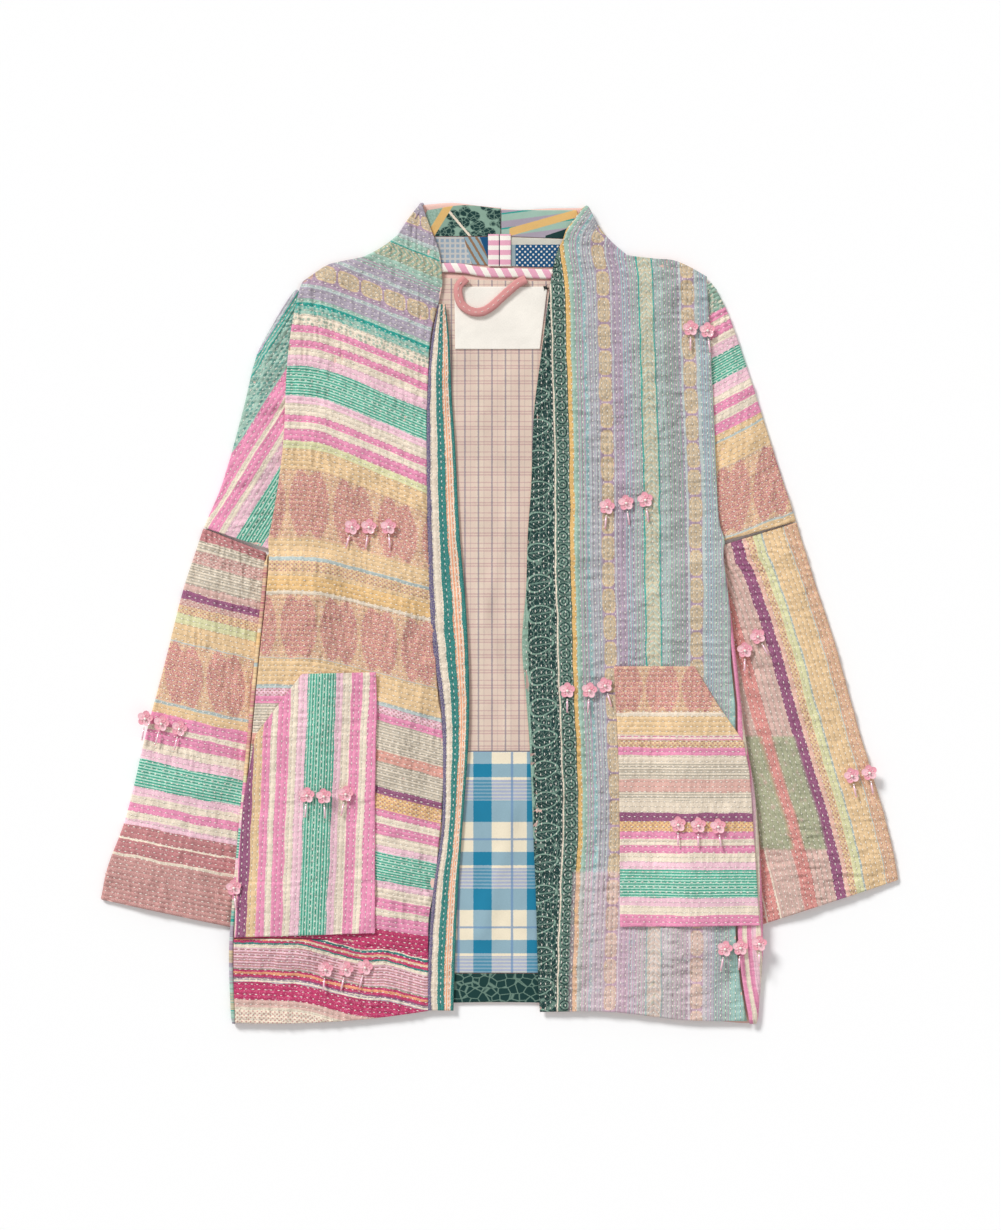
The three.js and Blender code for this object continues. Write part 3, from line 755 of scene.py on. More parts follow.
QUILT = 2.4
POCKET_CLOTH = 2.0
LINING = 1.0
GAP = 0.35
SIDE_TURN = 3.0
SEAM_CLOSE = 1.3
SLEEVE_TURN = 1.6
SIDE_REACH = SIDE_TURN + QUILT / 2 + 1.6
BACK_MID = QUILT / 2
FRONT_MID = BACK_MID + 2 * SIDE_TURN
SLEEVE_STACK = 2 * SLEEVE_TURN + QUILT + 2 * GAP
LINING_MID = QUILT + GAP + LINING / 2
ON_LINING = QUILT + 2 * GAP + LINING
SHOULDER_MID = QUILT + GAP + QUILT / 2
UNDERARM = 64.0
HEM_SIDE = -410.0
HEM_CENTRE = -389.0
ARMHOLE_LAP = 4.6
BACK_INSET = 5.5

SIDE_RIGHT = ((-268, -410), (-270, -347), (-266, -280), (-254, -149), (-244, -42), (-238, 13), (-234, 61))
SIDE_LEFT = ((258, -410), (262.5, -347), (262, -283), (255, -183), (244, -115), (236, -45), (228, 21),
             (222, 68))
WRAP_LEFT = ((248, -410), (240, -363), (235.5, -313), (235.5, -147), (235, -77), (232, -27), (227, 23),
             (221, 73))
ARMHOLE_RIGHT = ((-234, 61), (-225, 106), (-216.5, 168), (-213, 240), (-207.5, 290), (-198.5, 330))
ARMHOLE_LEFT = ((221.5, 68), (218, 114), (215, 179), (211.5, 255), (209.5, 300), (207.5, 336))
BACK_TOP = ((-196, 330), (-184, 338), (-152, 351), (-138, 351), (-95, 344.8), (-50, 341.5), (0, 339.6),
            (50, 338), (92, 341.6), (122, 349), (150, 352), (180, 349), (204, 336))
SHOULDER_RIGHT = ((-198.5, 330), (-184.5, 340), (-169.5, 349), (-152.5, 352.6), (-132.5, 356.6),
                  (-120.5, 362),
                  (-105, 374), (-95.5, 388), (-86.5, 400), (-78, 411))
FREE_EDGE_RIGHT = ((-70.5, -340), (-70, -304), (-65.5, -279), (-61, -240), (-57, -194), (-55.5, -158),
                   (-56.7, -110),
                   (-60.5, -85), (-65, -20), (-69, 52), (-70.7, 106), (-72, 159), (-72, 204), (-67.8, 277),
                   (-57.6, 322),
                   (-56.5, 333.5), (-60.5, 363), (-69.5, 387), (-78, 411.5))
FREE_EDGE_LEFT = ((40, -400), (38, -363), (36, -288), (33, -213), (30, -139), (26, -82), (22, -30),
                  (26, 21), (27, 52),
                  (28, 82), (31, 123), (34, 200), (42, 264), (49, 318), (51.3, 335))
CROWN_LEFT = ((51.3, 335), (54.5, 350), (57.9, 362), (62.9, 372), (66.2, 382), (74, 392), (87, 407),
              (94.5, 395),
              (101, 383), (111, 370), (121, 360), (128, 357.5), (155.5, 354), (173.5, 352.4),
              (190.5, 345.5), (207, 336.4))


def lift(x: Array, y: Array) -> Array:
    """How far the body is raised by a sleeve tucked under it."""
    return SLEEVE_STACK * ease(150, 186, np.abs(x)) * ease(66, 48, y) * ease(-368, -330, y)


def ridge(x: Array, y: Array, start: Point, end: Point, height: float, width: float) -> Array:
    """A soft ridge from start to end that fades over its width and at its ends.

    Args:
        x: Places across the jacket.
        y: Places up the jacket.
        start: Where it starts.
        end: Where it ends.
        height: Height of its crest.
        width: Its half width.

    Returns:
        Heights.
    """
    length = math.dist(start, end)
    ux, uy = (end[0] - start[0]) / length, (end[1] - start[1]) / length
    along = (x - start[0]) * ux + (y - start[1]) * uy
    beside = (y - start[1]) * ux - (x - start[0]) * uy
    ends = ease(-width, width, along) * ease(length + width, length - width, along)
    return height * ends * np.exp(-((beside / width) ** 2))


LARGE_FOLDS = (
    ((-104, 70), (-108, -330), 5, 22), ((-205, 40), (-150, -70), 3, 22), ((-190, -90), (-215, -300), 3, 28),
    ((-120, 300), (-150, 120), 2.5, 24), ((72, 120), (66, -370), 4, 20), ((195, 40), (150, -60), 3, 22),
    ((190, -100), (196, -330), 3, 28), ((110, 300), (150, 130), 2.5, 24),
)
SMALL_CREASES = (
    ((-210, 62), (-120, 10), 1.6, 7), ((-222, 30), (-150, -40), 1.4, 6), ((-195, 150), (-120, 100), 1.2, 8),
    ((-150, 300), (-90, 240), 1.3, 8), ((-100, -120), (-75, -300), 1.6, 9),
    ((-190, 250), (-130, 190), 1.1, 8),
    ((-85, 180), (-80, 20), 1.2, 8), ((-170, -330), (-110, -290), 1.3, 8), ((210, 60), (130, 5), 1.5, 7),
    ((205, 110), (140, 70), 1.2, 8), ((180, 330), (120, 250), 1.3, 9), ((60, 330), (80, 200), 1.1, 9),
    ((50, -60), (60, -240), 1.4, 9), ((100, -140), (96, -340), 1.4, 9), ((140, -250), (240, -290), 1.2, 8),
    ((170, 200), (120, 130), 1.1, 8), ((90, 30), (140, -60), 1.2, 8), ((-240, -200), (-140, -235), 1.2, 8),
)


def front_height(x: Array, y: Array) -> Array:
    """Height of the fronts' mid-cloth. Below the label the free edges lie down on the lining.

    Args:
        x: Places across the jacket.
        y: Places up the jacket.

    Returns:
        Heights.
    """
    folds = sum(ridge(x, y, *fold) for fold in LARGE_FOLDS)
    creases = sum(ridge(x, y, *crease) for crease in SMALL_CREASES)
    side_fade = ease(6, 30, np.minimum(x - edge_x(SIDE_RIGHT, y), edge_x(SIDE_LEFT, y) - x))
    fade = np.where(y < UNDERARM, side_fade, 1.0)
    droop = 1.8 * ease(34, 0, np.abs(x - np.where(x < 0, -50, 30))) * ease(255, 215, y)
    return FRONT_MID + lift(x, y) + (folds + creases) * fade - droop


def band_height(x: Array, y: Array) -> Array:
    """Height of the front band's mid-cloth."""
    return front_height(x, y) + 0.6


def pocket_height(x: Array, y: Array) -> Array:
    """Height of the patch pockets' mid-cloth."""
    return front_height(x, y) + QUILT / 2 + 1.2 + POCKET_CLOTH / 2


def sleeve_puff(x: Array, y: Array, across: Array, station: Array) -> Array:
    """How much fuller a sleeve stands where nothing lies on it.

    Args:
        x: Places across the jacket.
        y: Places up the jacket.
        across: Place from the inner edge to the outer fold, from 0 to 1.
        station: Place from shoulder to cuff, from 0 to 1.

    Returns:
        Added heights.
    """
    upper = y > UNDERARM
    covered_right = np.abs(np.where(upper, edge_x(ARMHOLE_RIGHT, y), edge_x(SIDE_RIGHT, y)))
    covered_left = np.abs(np.where(upper, edge_x(ARMHOLE_LEFT, y), edge_x(SIDE_LEFT, y)))
    beyond = np.abs(x) - np.where(x < 0, covered_right, covered_left)
    free = ease(0, 1, (beyond - 2) / np.where(upper, 24, 38))
    return 3.4 * free * ease(1, 0.72, across) * ease(0, 0.12, station) * ease(1.35, 0.8, station)


def front_lines(x: Array) -> Array:
    """How far right of the level stretch of the right front's stripes a place is, with a soft bend."""
    return 9.0 * np.logaddexp(0.0, (np.asarray(x, float) + 181.5) / 9.0)


def front_slope(q: Array) -> Array:
    """Fall of the right front's stripes towards its free edge, by the stripe's height at the side."""
    return through(((-390, 0.14), (-324, 0.13), (-257, 0.19), (-177, 0.25), (-87, 0.28), (-7, 0.24),
                    (73, 0.29),
                    (133, 0.40), (230, 0.42), (293, 0.40), (452, 0.40)), q)


def front_stripe(x: Array, y: Array) -> Array:
    """Height at the side of the right front's stripe that passes through a point.

    Args:
        x: Places across the jacket.
        y: Places up the jacket.

    Returns:
        Heights at the side.
    """
    q = np.asarray(y, float) + 0.3 * front_lines(x)
    for _ in range(6):
        q = y + front_slope(q) * front_lines(x)
    return q


# ---------------------------------------------------------------------------
# Cloth as fine grids
# ---------------------------------------------------------------------------

RIM = (0.0, 0.3, 0.8, 1.6)


def spaced(length: float, step: float) -> Array:
    """Places from 0 to 1 over a length, with close ones at both rims.

    Args:
        length: The length.
        step: The usual step.

    Returns:
        The places.
    """
    near = np.array(RIM) / length
    inner = np.linspace(0, 1, max(2, round(length / step)) + 1)
    margin = near[-1] + 0.35 * step / length
    inner = inner[(inner > margin) & (inner < 1 - margin)]
    return np.concatenate([near, inner, 1 - near[::-1]])


@dataclass
class Grid:
    """Mid-cloth points in rows and columns, with where each lies in the weave."""

    points: Array
    along: Array
    across: Array
    ring: bool = False

    def normals(self) -> Array:
        """Unit normals at the points.

        Returns:
            One normal for each point.
        """
        p = self.points
        if self.ring:
            d_col = np.roll(p, -1, axis=1) - np.roll(p, 1, axis=1)
        else:
            d_col = np.gradient(p, axis=1)
        normal = np.cross(d_col, np.gradient(p, axis=0))
        normal /= np.maximum(np.linalg.norm(normal, axis=2, keepdims=True), 1e-9)
        return normal

    def mirrored(self) -> "Grid":
        """The same cloth with its other face out."""
        return Grid(self.points[:, ::-1], self.along[:, ::-1], self.across[:, ::-1], self.ring)

    def rim_share(self, radius: float) -> Array:
        """1 in the open cloth, falling to 0.12 at the rims as a rounded edge does.

        Args:
            radius: Radius of the rounded rim.

        Returns:
            The share at each point.
        """
        p = self.points
        steps = np.linalg.norm(np.diff(p, axis=0), axis=2)
        down = np.vstack([np.zeros((1, p.shape[1])), np.cumsum(steps, axis=0)])
        away = np.minimum(down, down[-1] - down)
        if not self.ring:
            steps = np.linalg.norm(np.diff(p, axis=1), axis=2)
            over = np.hstack([np.zeros((p.shape[0], 1)), np.cumsum(steps, axis=1)])
            away = np.minimum(away, np.minimum(over, over[:, -1:] - over))
        inside = np.clip(away / radius, 0, 1)
        return np.maximum(0.12, np.sqrt(1 - (1 - inside) ** 2))


@dataclass
class Quilting:
    """Relief of cloth that is run with rows of stitches."""

    depth: float = 1.3
    pucker: float = 1.4
    swell: float = 1.1
    seed: int = 1

    def relief(self, along: Array, across: Array) -> Array:
        """Height of the surface over its plain form.

        Args:
            along: Millimetres along the stitch rows.
            across: Millimetres across them.

        Returns:
            Heights, zero at the crests and less in the valleys.
        """
        row = across / ROW_PITCH
        crest = np.abs(np.sin(np.pi * row)) ** 0.7
        index = np.floor(row)
        ripple = soft_noise(along, across * 0.16, 2.6, self.seed)
        ripple = ripple + 0.6 * soft_noise(along, index * 7.7 + row * 0.5, 2.8, self.seed + 3)
        gathered = 0.75 + 0.45 * soft_noise(along, across, 38.0, self.seed + 9)
        wide = soft_noise(along, across, 17.0, self.seed + 5) + 0.5 * soft_noise(along, across, 9.0,
                                                                                 self.seed + 6)
        strength = 0.85 + 0.3 * soft_noise(along, across, 40.0, self.seed + 8)
        puckers = self.pucker * ripple * gathered * (0.45 + 0.55 * crest)
        return strength * self.depth * (crest - 1) + puckers + self.swell * wide


def new_object(name: str, verts: Array, faces: list, materials: Sequence[bpy.types.Material],
               indices: Array | None = None, grain: Array | None = None) -> bpy.types.Object:
    """Make a mesh object from points in millimetres.

    Args:
        name: The piece's name.
        verts: Points.
        faces: Corner numbers of each face.
        materials: Material slots.
        indices: Material number of each face.
        grain: Place of each point in the weave.

    Returns:
        The object, linked to the scene.
    """
    mesh = bpy.data.meshes.new(name)
    mesh.from_pydata((np.asarray(verts) * MM).tolist(), [], faces)
    for material in materials:
        mesh.materials.append(material)
    if indices is not None:
        mesh.polygons.foreach_set("material_index", np.asarray(indices, np.int32))
    mesh.polygons.foreach_set("use_smooth", np.full(len(mesh.polygons), True))
    if grain is not None:
        attribute = mesh.attributes.new("grain", "FLOAT_VECTOR", "POINT")
        attribute.data.foreach_set("vector", np.asarray(grain, np.float32).ravel())
    mesh.update()
    obj = bpy.data.objects.new(name, mesh)
    bpy.context.scene.collection.objects.link(obj)
    return obj


def tube_faces(base: int, rings: int, sides: int, turned: bool = False) -> list[list[int]]:
    """Faces of a closed tube: its walls, then its two ends.

    Args:
        base: Number of its first point.
        rings: How many rings it has.
        sides: Points in a ring.
        turned: Whether its rings run the other way round.

    Returns:
        The faces.
    """
    faces = []
    for i in range(rings - 1):
        for k in range(sides):
            a, b = base + i * sides + k, base + i * sides + (k + 1) % sides
            faces.append([a, b, b + sides, a + sides])
    faces.append(list(range(base, base + sides))[::-1])
    faces.append(list(range(base + (rings - 1) * sides, base + rings * sides)))
    return [face[::-1] for face in faces] if turned else faces


def cloth_object(name: str, grid: Grid, thickness: float, relief: Array | float,
                 materials: Sequence[bpy.types.Material],
                 coarse: tuple[int, int] = (4, 3)) -> bpy.types.Object:
    """Make a closed wall of cloth: a fine outer face, a coarser inner one and rounded rims.

    Args:
        name: The piece's name.
        grid: Mid-cloth points.
        thickness: Cloth thickness.
        relief: Added height of the outer face.
        materials: Outer and inner material.
        coarse: Every how manyth row and column the inner face keeps.

    Returns:
        The object.
    """
    normal = grid.normals()
    share = grid.rim_share(thickness * 0.6)[..., None]
    lift_by = np.broadcast_to(np.asarray(relief, float), grid.along.shape)[..., None]
    outer = grid.points + normal * share * (thickness / 2 + lift_by)
    rows, cols = grid.along.shape
    keep_r = np.unique(np.append(np.arange(0, rows, coarse[0]), rows - 1))
    keep_c = np.arange(0, cols, coarse[1])
    if not grid.ring:
        keep_c = np.unique(np.append(keep_c, cols - 1))
    inner = (grid.points - normal * share * thickness / 2)[np.ix_(keep_r, keep_c)]
    place = np.dstack([grid.along, grid.across, np.ones_like(grid.along)])
    place_in = place[np.ix_(keep_r, keep_c)] * (1, 1, -1)
    base = rows * cols
    wide_in = len(keep_c)

    def quads(r_count: int, c_count: int, start: int, ring: bool) -> Array:
        """Faces of a grid of points.

        Args:
            r_count: Rows of points.
            c_count: Columns of points.
            start: Number of the first point.
            ring: Whether the last column meets the first.

        Returns:
            Corner numbers of each face.
        """
        spans = c_count if ring else c_count - 1
        r, c = np.meshgrid(np.arange(r_count - 1), np.arange(spans), indexing="ij")
        d = (c + 1) % c_count
        return (np.stack([r * c_count + c, r * c_count + d, (r + 1) * c_count + d, (r + 1) * c_count + c], -1)
                .reshape(-1, 4) + start)

    over = quads(rows, cols, 0, grid.ring)
    under = quads(len(keep_r), wide_in, base, grid.ring)[:, ::-1]
    rims = []
    ends = list(keep_c) + ([cols] if grid.ring else [])
    for r, r_in, turn in ((0, 0, False), (rows - 1, len(keep_r) - 1, True)):
        for i in range(len(ends) - 1):
            edge = [r * cols + c % cols for c in range(ends[i], ends[i + 1] + 1)]
            back = [base + r_in * wide_in + (i + 1) % wide_in, base + r_in * wide_in + i]
            face = edge[::-1] + back[::-1]
            rims.append(face[::-1] if turn else face)
    if not grid.ring:
        for c, c_in, turn in ((0, 0, True), (cols - 1, wide_in - 1, False)):
            for i in range(len(keep_r) - 1):
                edge = [r * cols + c for r in range(keep_r[i], keep_r[i + 1] + 1)]
                back = [base + (i + 1) * wide_in + c_in, base + i * wide_in + c_in]
                face = edge[::-1] + back[::-1]
                rims.append(face[::-1] if turn else face)
    faces = over.tolist() + under.tolist() + rims
    indices = np.zeros(len(faces), np.int32)
    indices[len(over):len(over) + len(under)] = 1
    verts = np.vstack([outer.reshape(-1, 3), inner.reshape(-1, 3)])
    verts[:, 2] = np.maximum(verts[:, 2], 0.0)
    grains = np.vstack([place.reshape(-1, 3), place_in.reshape(-1, 3)])
    return new_object(name, verts, faces, materials, indices, grains)


def rib_grid(ribs: Sequence, rows: Array, columns: Array, height: Callable[[Array, Array], Array] | float,
             tension: float = 0.5) -> tuple[Array, Array, Array]:
    """Points between rib ends, as a loft through the ribs.

    Args:
        ribs: Each is (inner end, outer end) or (inner end, outer end, bulge).
        rows: Places along the ribs' order, from 0 to 1.
        columns: Places from inner to outer end, from 0 to 1.
        height: Height, or a function of x and y.
        tension: 0 for straight runs between ribs.

    Returns:
        The points, the columns' share and the rows' share, each over the whole grid.
    """
    inner = smooth_path([r[0] for r in ribs], rows, tension)
    outer = smooth_path([r[1] for r in ribs], rows, tension)
    bulge = smooth_path([r[2] if len(r) > 2 else (0, 0) for r in ribs], rows, tension)
    c, r = np.meshgrid(columns, rows)
    flat = inner[:, None] * (1 - c[..., None]) + outer[:, None] * c[..., None]
    flat = flat + bulge[:, None] * (4 * c * (1 - c))[..., None]
    z = height(flat[..., 0], flat[..., 1]) if callable(height) else np.full(c.shape, float(height))
    return np.dstack([flat, z]), c, r


@dataclass
class StitchWork:
    """White running stitches, gathered from the panels and joined into pieces."""

    length: float = 3.2
    pitch: float = 6.4
    width: float = 1.25
    runs: dict[str, list[tuple[Array, Array, Array]]] = field(default_factory=dict)

    def sew(self, group: str, grid: Grid, surface: Array, lengthwise_rows: bool, keep: Array | None,
            seed: int) -> None:
        """Run stitches along every valley of a panel.

        Args:
            group: The piece that the stitches go to.
            grid: The panel's grid.
            surface: Its outer face.
            lengthwise_rows: Whether the valleys run along the grid's rows.
            keep: Where stitches show, as a mask over the grid.
            seed: Which random wander.
        """
        across = grid.across / ROW_PITCH
        points = surface
        normals = grid.normals()
        if not lengthwise_rows:
            across, points, normals = across.T, points.transpose(1, 0, 2), normals.transpose(1, 0, 2)
            keep = None if keep is None else keep.T
        count = across.shape[1]
        wander = np.random.default_rng(seed)
        low, high = int(np.ceil(across.min() + 0.2)), int(np.floor(across.max() - 0.2))
        segments = self.runs.setdefault(group, [])
        sign = 1 if across[-1].mean() > across[0].mean() else -1
        for number in range(low, high + 1):
            path, facing = [], []
            for j in range(count):
                line = across[:, j] * sign
                i = np.searchsorted(line, number * sign)
                inside = 2 < i < len(line) - 2 and (keep is None or keep[i, j])
                if not inside:
                    self._cut(path, facing, segments, wander)
                    path, facing = [], []
                    continue
                t = (number * sign - line[i - 1]) / max(line[i] - line[i - 1], 1e-9)
                path.append(points[i - 1, j] * (1 - t) + points[i, j] * t)
                facing.append(normals[i, j])
            self._cut(path, facing, segments, wander)

    def _cut(self, path: list, facing: list, segments: list, wander: np.random.Generator) -> None:
        """Cut one valley's path into stitches.

        Args:
            path: Points along the valley.
            facing: Normals at them.
            segments: Where the stitches are added.
            wander: The random wander.
        """
        if len(path) < 3:
            return
        p, n = np.array(path), np.array(facing)
        reach = np.concatenate([[0], np.cumsum(np.linalg.norm(np.diff(p, axis=0), axis=1))])
        starts = np.arange(wander.uniform(0.5, self.pitch), reach[-1] - self.length - 0.5, self.pitch)
        if not len(starts):
            return
        starts = starts + wander.uniform(-0.7, 0.7, len(starts))
        ends = starts + self.length * wander.uniform(0.8, 1.25, len(starts))
        a = np.stack([np.interp(starts, reach, p[:, k]) for k in range(3)], 1)
        b = np.stack([np.interp(ends, reach, p[:, k]) for k in range(3)], 1)
        up = np.stack([np.interp(starts, reach, n[:, k]) for k in range(3)], 1)
        segments.append((a, b, up))

    def build(self, material: bpy.types.Material) -> None:
        """Make one joined piece for each group."""
        for group, segments in self.runs.items():
            a = np.vstack([s[0] for s in segments])
            b = np.vstack([s[1] for s in segments])
            up = np.vstack([s[2] for s in segments])
            run = b - a
            run /= np.linalg.norm(run, axis=1, keepdims=True)
            side = np.cross(run, up)
            side /= np.linalg.norm(side, axis=1, keepdims=True)
            middle = (a + b) / 2
            half = self.width / 2
            corners = np.stack([a - up * 0.15, middle - side * half + up * 0.12, middle + up * 0.5,
                                middle + side * half + up * 0.12, middle - up * 0.25, b - up * 0.15], 1)
            base = np.arange(len(a))[:, None, None] * 6
            pattern = np.array([[0, 1, 2], [0, 2, 3], [0, 3, 4], [0, 4, 1], [5, 2, 1], [5, 3, 2], [5, 4, 3],
                                [5, 1, 4]])
            faces = (base + pattern[:, ::-1]).reshape(-1, 3).tolist()
            verts = corners.reshape(-1, 3)
            verts[:, 2] = np.maximum(verts[:, 2], 0.0)
            piece = new_object(group, verts, faces, [material])
            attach(piece, "root")
            LOG.info("%s: %d stitches", group, len(a))


# ---------------------------------------------------------------------------
# Finishes
# ---------------------------------------------------------------------------


@dataclass(frozen=True)
class Plain:
    """A one-colour cloth or bead, with a light weave."""

    name: str
    dye: Dye
    roughness: float = 0.88
    weave: bool = True
    coat: float = 0.0
    metallic: float = 0.0
    lighter: float = 1.0

    def material(self) -> bpy.types.Material:
        """Make the material.

        Returns:
            The material.
        """
        graph = Graph(self.name)
        base = tuple(min(1.0, c * self.lighter) for c in self.dye.linear())
        if not self.weave:
            return graph.finish(base, self.roughness, coat=self.coat, metallic=self.metallic)
        place = graph.add("TexCoord", None, None, out="Object")
        x, y, _ = place.parts()
        x, y = x * 1000.0, y * 1000.0
        threads = graph.noise(x, y * 0.3, 1.9, 1.0) * 0.5 + graph.noise(x * 0.3, y, 1.9, 1.0, 3.0) * 0.5
        cloud = graph.noise(x, y, 0.03, 3.0, 5.0)
        colour = graph.shade(base, threads * 0.3 + cloud * 0.25 + 0.72)
        return graph.finish(colour, self.roughness, threads, relief_mm=0.3, coat=self.coat)


class Tartan(Enum):
    """Woven cloths of the lining."""

    CHECK = "check"
    PLAID = "plaid"
    FACING = "facing"
    DENIM = "denim"
    DOTTED = "dotted"
    LEAFY = "leafy"
    BINDING = "binding"
    TAPE = "tape"


@dataclass(frozen=True)
class LiningCloth:
    """Thin cloth that is printed or woven with bands both ways, read from the mesh's grain."""

    name: str
    kind: Tartan

    @staticmethod
    def _band(value: Wire, length: float, centre: float, half: float) -> Wire:
        """1 in a band of a repeat."""
        return ((value.repeat(length) - centre / length)).within(half / length, 0.35 / length)

    def _check(self, g: Graph, u: Wire, v: Wire) -> Wire:
        """Pink double rows and blue-grey single columns on ecru.

        Args:
            g: The material's graph.
            u: Millimetres across the cloth.
            v: Millimetres up the cloth.

        Returns:
            The colour.
        """
        colour = g.mix(self._band(u, 27.0, 7.0, 3.6) * 0.35, Dye.ECRU, Dye.CREAM)
        rows = self._band(v, 15.2, 2.0, 0.45).larger(self._band(v, 15.2, 4.6, 0.45)).larger(self._band(v,
                                                                                                       15.2,
                                                                                                       9.6,
                                                                                                       0.3))
        colour = g.mix(rows * 0.42, colour, g.mix(0.35, Dye.CRIMSON, Dye.LAVENDER))
        faint = self._band(u, 13.5, 11.5, 0.3) * 0.3
        column = self._band(u, 13.5, 6.0, 0.6).larger(faint)
        return g.mix(column * 0.72, colour, g.mix(0.45, Dye.INDIGO, Dye.GREY))

    def _plaid(self, g: Graph, u: Wire, v: Wire) -> Wire:
        """Blue bands both ways on ivory, deepest where they cross, with fine-lined rows between.

        Args:
            g: The material's graph.
            u: Millimetres across the cloth.
            v: Millimetres up the cloth.

        Returns:
            The colour.
        """
        columns = self._band(u, 53.5, 36.5, 9.0)
        down = v * -1.0
        rows = self._band(down, 88.0, 83.0, 8.2).larger(self._band(down, 88.0, 34.0, 10.5))
        rows = rows.larger(self._band(down, 88.0, 88.0, 2.0))
        lined = self._band(down, 88.0, 13.5, 10.5) * ((down.repeat(3.5) - 0.5).within(0.24, 0.1) * 0.8 + 0.2)
        base = g.mix(self._band(down, 88.0, 13.5, 10.5) * 0.6, Dye.IVORY, Dye.ICE)
        base = g.mix(lined * 0.65, base, Dye.PERIWINKLE)
        either = columns.larger(rows)
        both = columns * rows
        colour = g.mix(either * 0.9, base, Dye.STEEL)
        colour = g.mix(both, colour, Dye.AZURE)
        colour = g.mix(columns * lined * 0.7, colour, Dye.AZURE)
        fine = self._band(down, 88.0, 62.0, 0.8).larger(self._band(u, 53.5, 12.5, 1.0))
        return g.mix(fine * 0.75, colour, g.mix(0.5, Dye.PERIWINKLE, Dye.AZURE))

    def _facing(self, g: Graph, u: Wire, v: Wire) -> Wire:
        """Deep green with paler flecks."""
        fleck = g.cells(u * 0.11, v * 0.14, "DISTANCE_TO_EDGE", 0.8).step(0.08, 0.02)
        return g.mix(fleck * 0.55, Dye.FOREST, Dye.SAGE)

    def _leafy(self, g: Graph, u: Wire, v: Wire) -> Wire:
        """Deep green leaves on sage, crossed by a mustard and a cream line, with lavender ends.

        Args:
            g: The material's graph.
            u: Millimetres across the cloth.
            v: Millimetres up the cloth.

        Returns:
            The colour.
        """
        slant = u + v * 0.85
        leaf = g.cells(u * 0.075, v * 0.1, "F1", 0.6).step(0.62, 0.5)
        vein = g.cells(u * 0.2, v * 0.26, "DISTANCE_TO_EDGE", 1.0).step(0.08, 0.03)
        colour = g.mix(leaf * (1.0 - vein * 0.6), Dye.SAGE, Dye.FOREST)
        colour = g.mix((slant + 29.0).within(1.3, 0.4), colour, Dye.CREAM)
        edge = u * 1.0 - v * 0.62
        colour = g.mix((edge < -65.5), colour, Dye.MUSTARD)
        colour = g.mix((edge < -74.5), colour, g.mix(g.noise(u, v, 0.5).step(0.4, 0.6), Dye.SAGE, Dye.MINT))
        rise = v - u * 0.13
        bands = g.mix((rise.repeat(15.0) < 0.45), Dye.LAVENDER, Dye.MINT)
        bands = g.mix((rise.repeat(15.0) - 0.5).within(0.04, 0.02), bands, Dye.TEAL)
        colour = g.mix(u > 1.0, colour, bands)
        wedge = v - 9.0 - (u - 12.0) * 0.28
        colour = g.mix((u > 10.0) * (wedge < 0.0) * (wedge > -8.0), colour, Dye.MUSTARD)
        below = (u > 46.0) * (v - 2.0 - (u - 46.0) * 0.33 < -1.0)
        return g.mix(below, colour, Dye.FOREST)

    def _denim(self, g: Graph, u: Wire, v: Wire) -> Wire:
        """Blue-grey check, then brown and grey-blue slanting stripes, then plain navy.

        Args:
            g: The material's graph.
            u: Millimetres across the cloth.
            v: Millimetres up the cloth.

        Returns:
            The colour.
        """
        check = self._band(u, 5.2, 2.6, 0.8).larger(self._band(v, 5.2, 2.6, 0.8))
        colour = g.mix(check * 0.5, g.mix(0.4, Dye.STEEL, Dye.LAVENDER), Dye.CREAM)
        slant = (u + v * 0.6).repeat(7.0)
        stripes = g.mix(slant < 0.4, g.mix(0.3, Dye.STEEL, Dye.GREY), Dye.BROWN)
        colour = g.mix((u + v * 0.3) > -27.0, colour, stripes)
        return g.mix((u + v * 0.4) > -8.0, colour, Dye.NAVY)

    def _dotted(self, g: Graph, u: Wire, v: Wire) -> Wire:
        """Grey-blue, then navy with white dots, with a pale band on top.

        Args:
            g: The material's graph.
            u: Millimetres across the cloth.
            v: Millimetres up the cloth.

        Returns:
            The colour.
        """
        dots = (u.wave(5.4) * v.wave(5.4)).step(0.35, 0.6)
        colour = g.mix(dots * 0.85, Dye.NAVY, Dye.WHITE)
        colour = g.mix(u < 16.0, colour, g.mix(0.4, Dye.STEEL, Dye.GREY))
        return g.mix(v > 22.0, colour, g.mix(0.5, Dye.STONE, Dye.ICE))

    def _binding(self, g: Graph, u: Wire, v: Wire) -> Wire:
        """Slanting pink and white stripes."""
        return g.mix(((u + v * 0.55).repeat(13.5) - 0.5).within(0.25, 0.03), Dye.WHITE,
                     g.mix(0.45, Dye.PINK, Dye.BLUSH))

    def _tape(self, g: Graph, u: Wire, v: Wire) -> Wire:
        """Pink and white stripes straight across."""
        return g.mix((v.repeat(9.6) - 0.5).within(0.25, 0.03), Dye.WHITE,
                     g.mix(0.45, Dye.PINK, Dye.BLUSH))

    def material(self) -> bpy.types.Material:
        """Make the cloth's material.

        Returns:
            The material.
        """
        graph = Graph(self.name)
        u, v, _ = graph.add("Attribute", {"attribute_name": "grain"}, out="Vector").parts()
        tooth = (graph.noise(u, v, 0.7, 1.0) - 0.5) * 0.9
        colour = getattr(self, "_" + self.kind.value)(graph, u + tooth, v + tooth)
        threads = graph.noise(u, v * 0.3, 2.0, 1.0) * 0.5 + graph.noise(u * 0.3, v, 2.0, 1.0, 3.0) * 0.5
        cloud = graph.noise(u, v, 0.025, 3.0, 5.0)
        colour = graph.shade(colour, threads * 0.3 + cloud * 0.25 + 0.72)
        return graph.finish(colour, 0.85, threads, relief_mm=0.3)


# ---------------------------------------------------------------------------
# Charts: stripes in order across the cloth
# ---------------------------------------------------------------------------

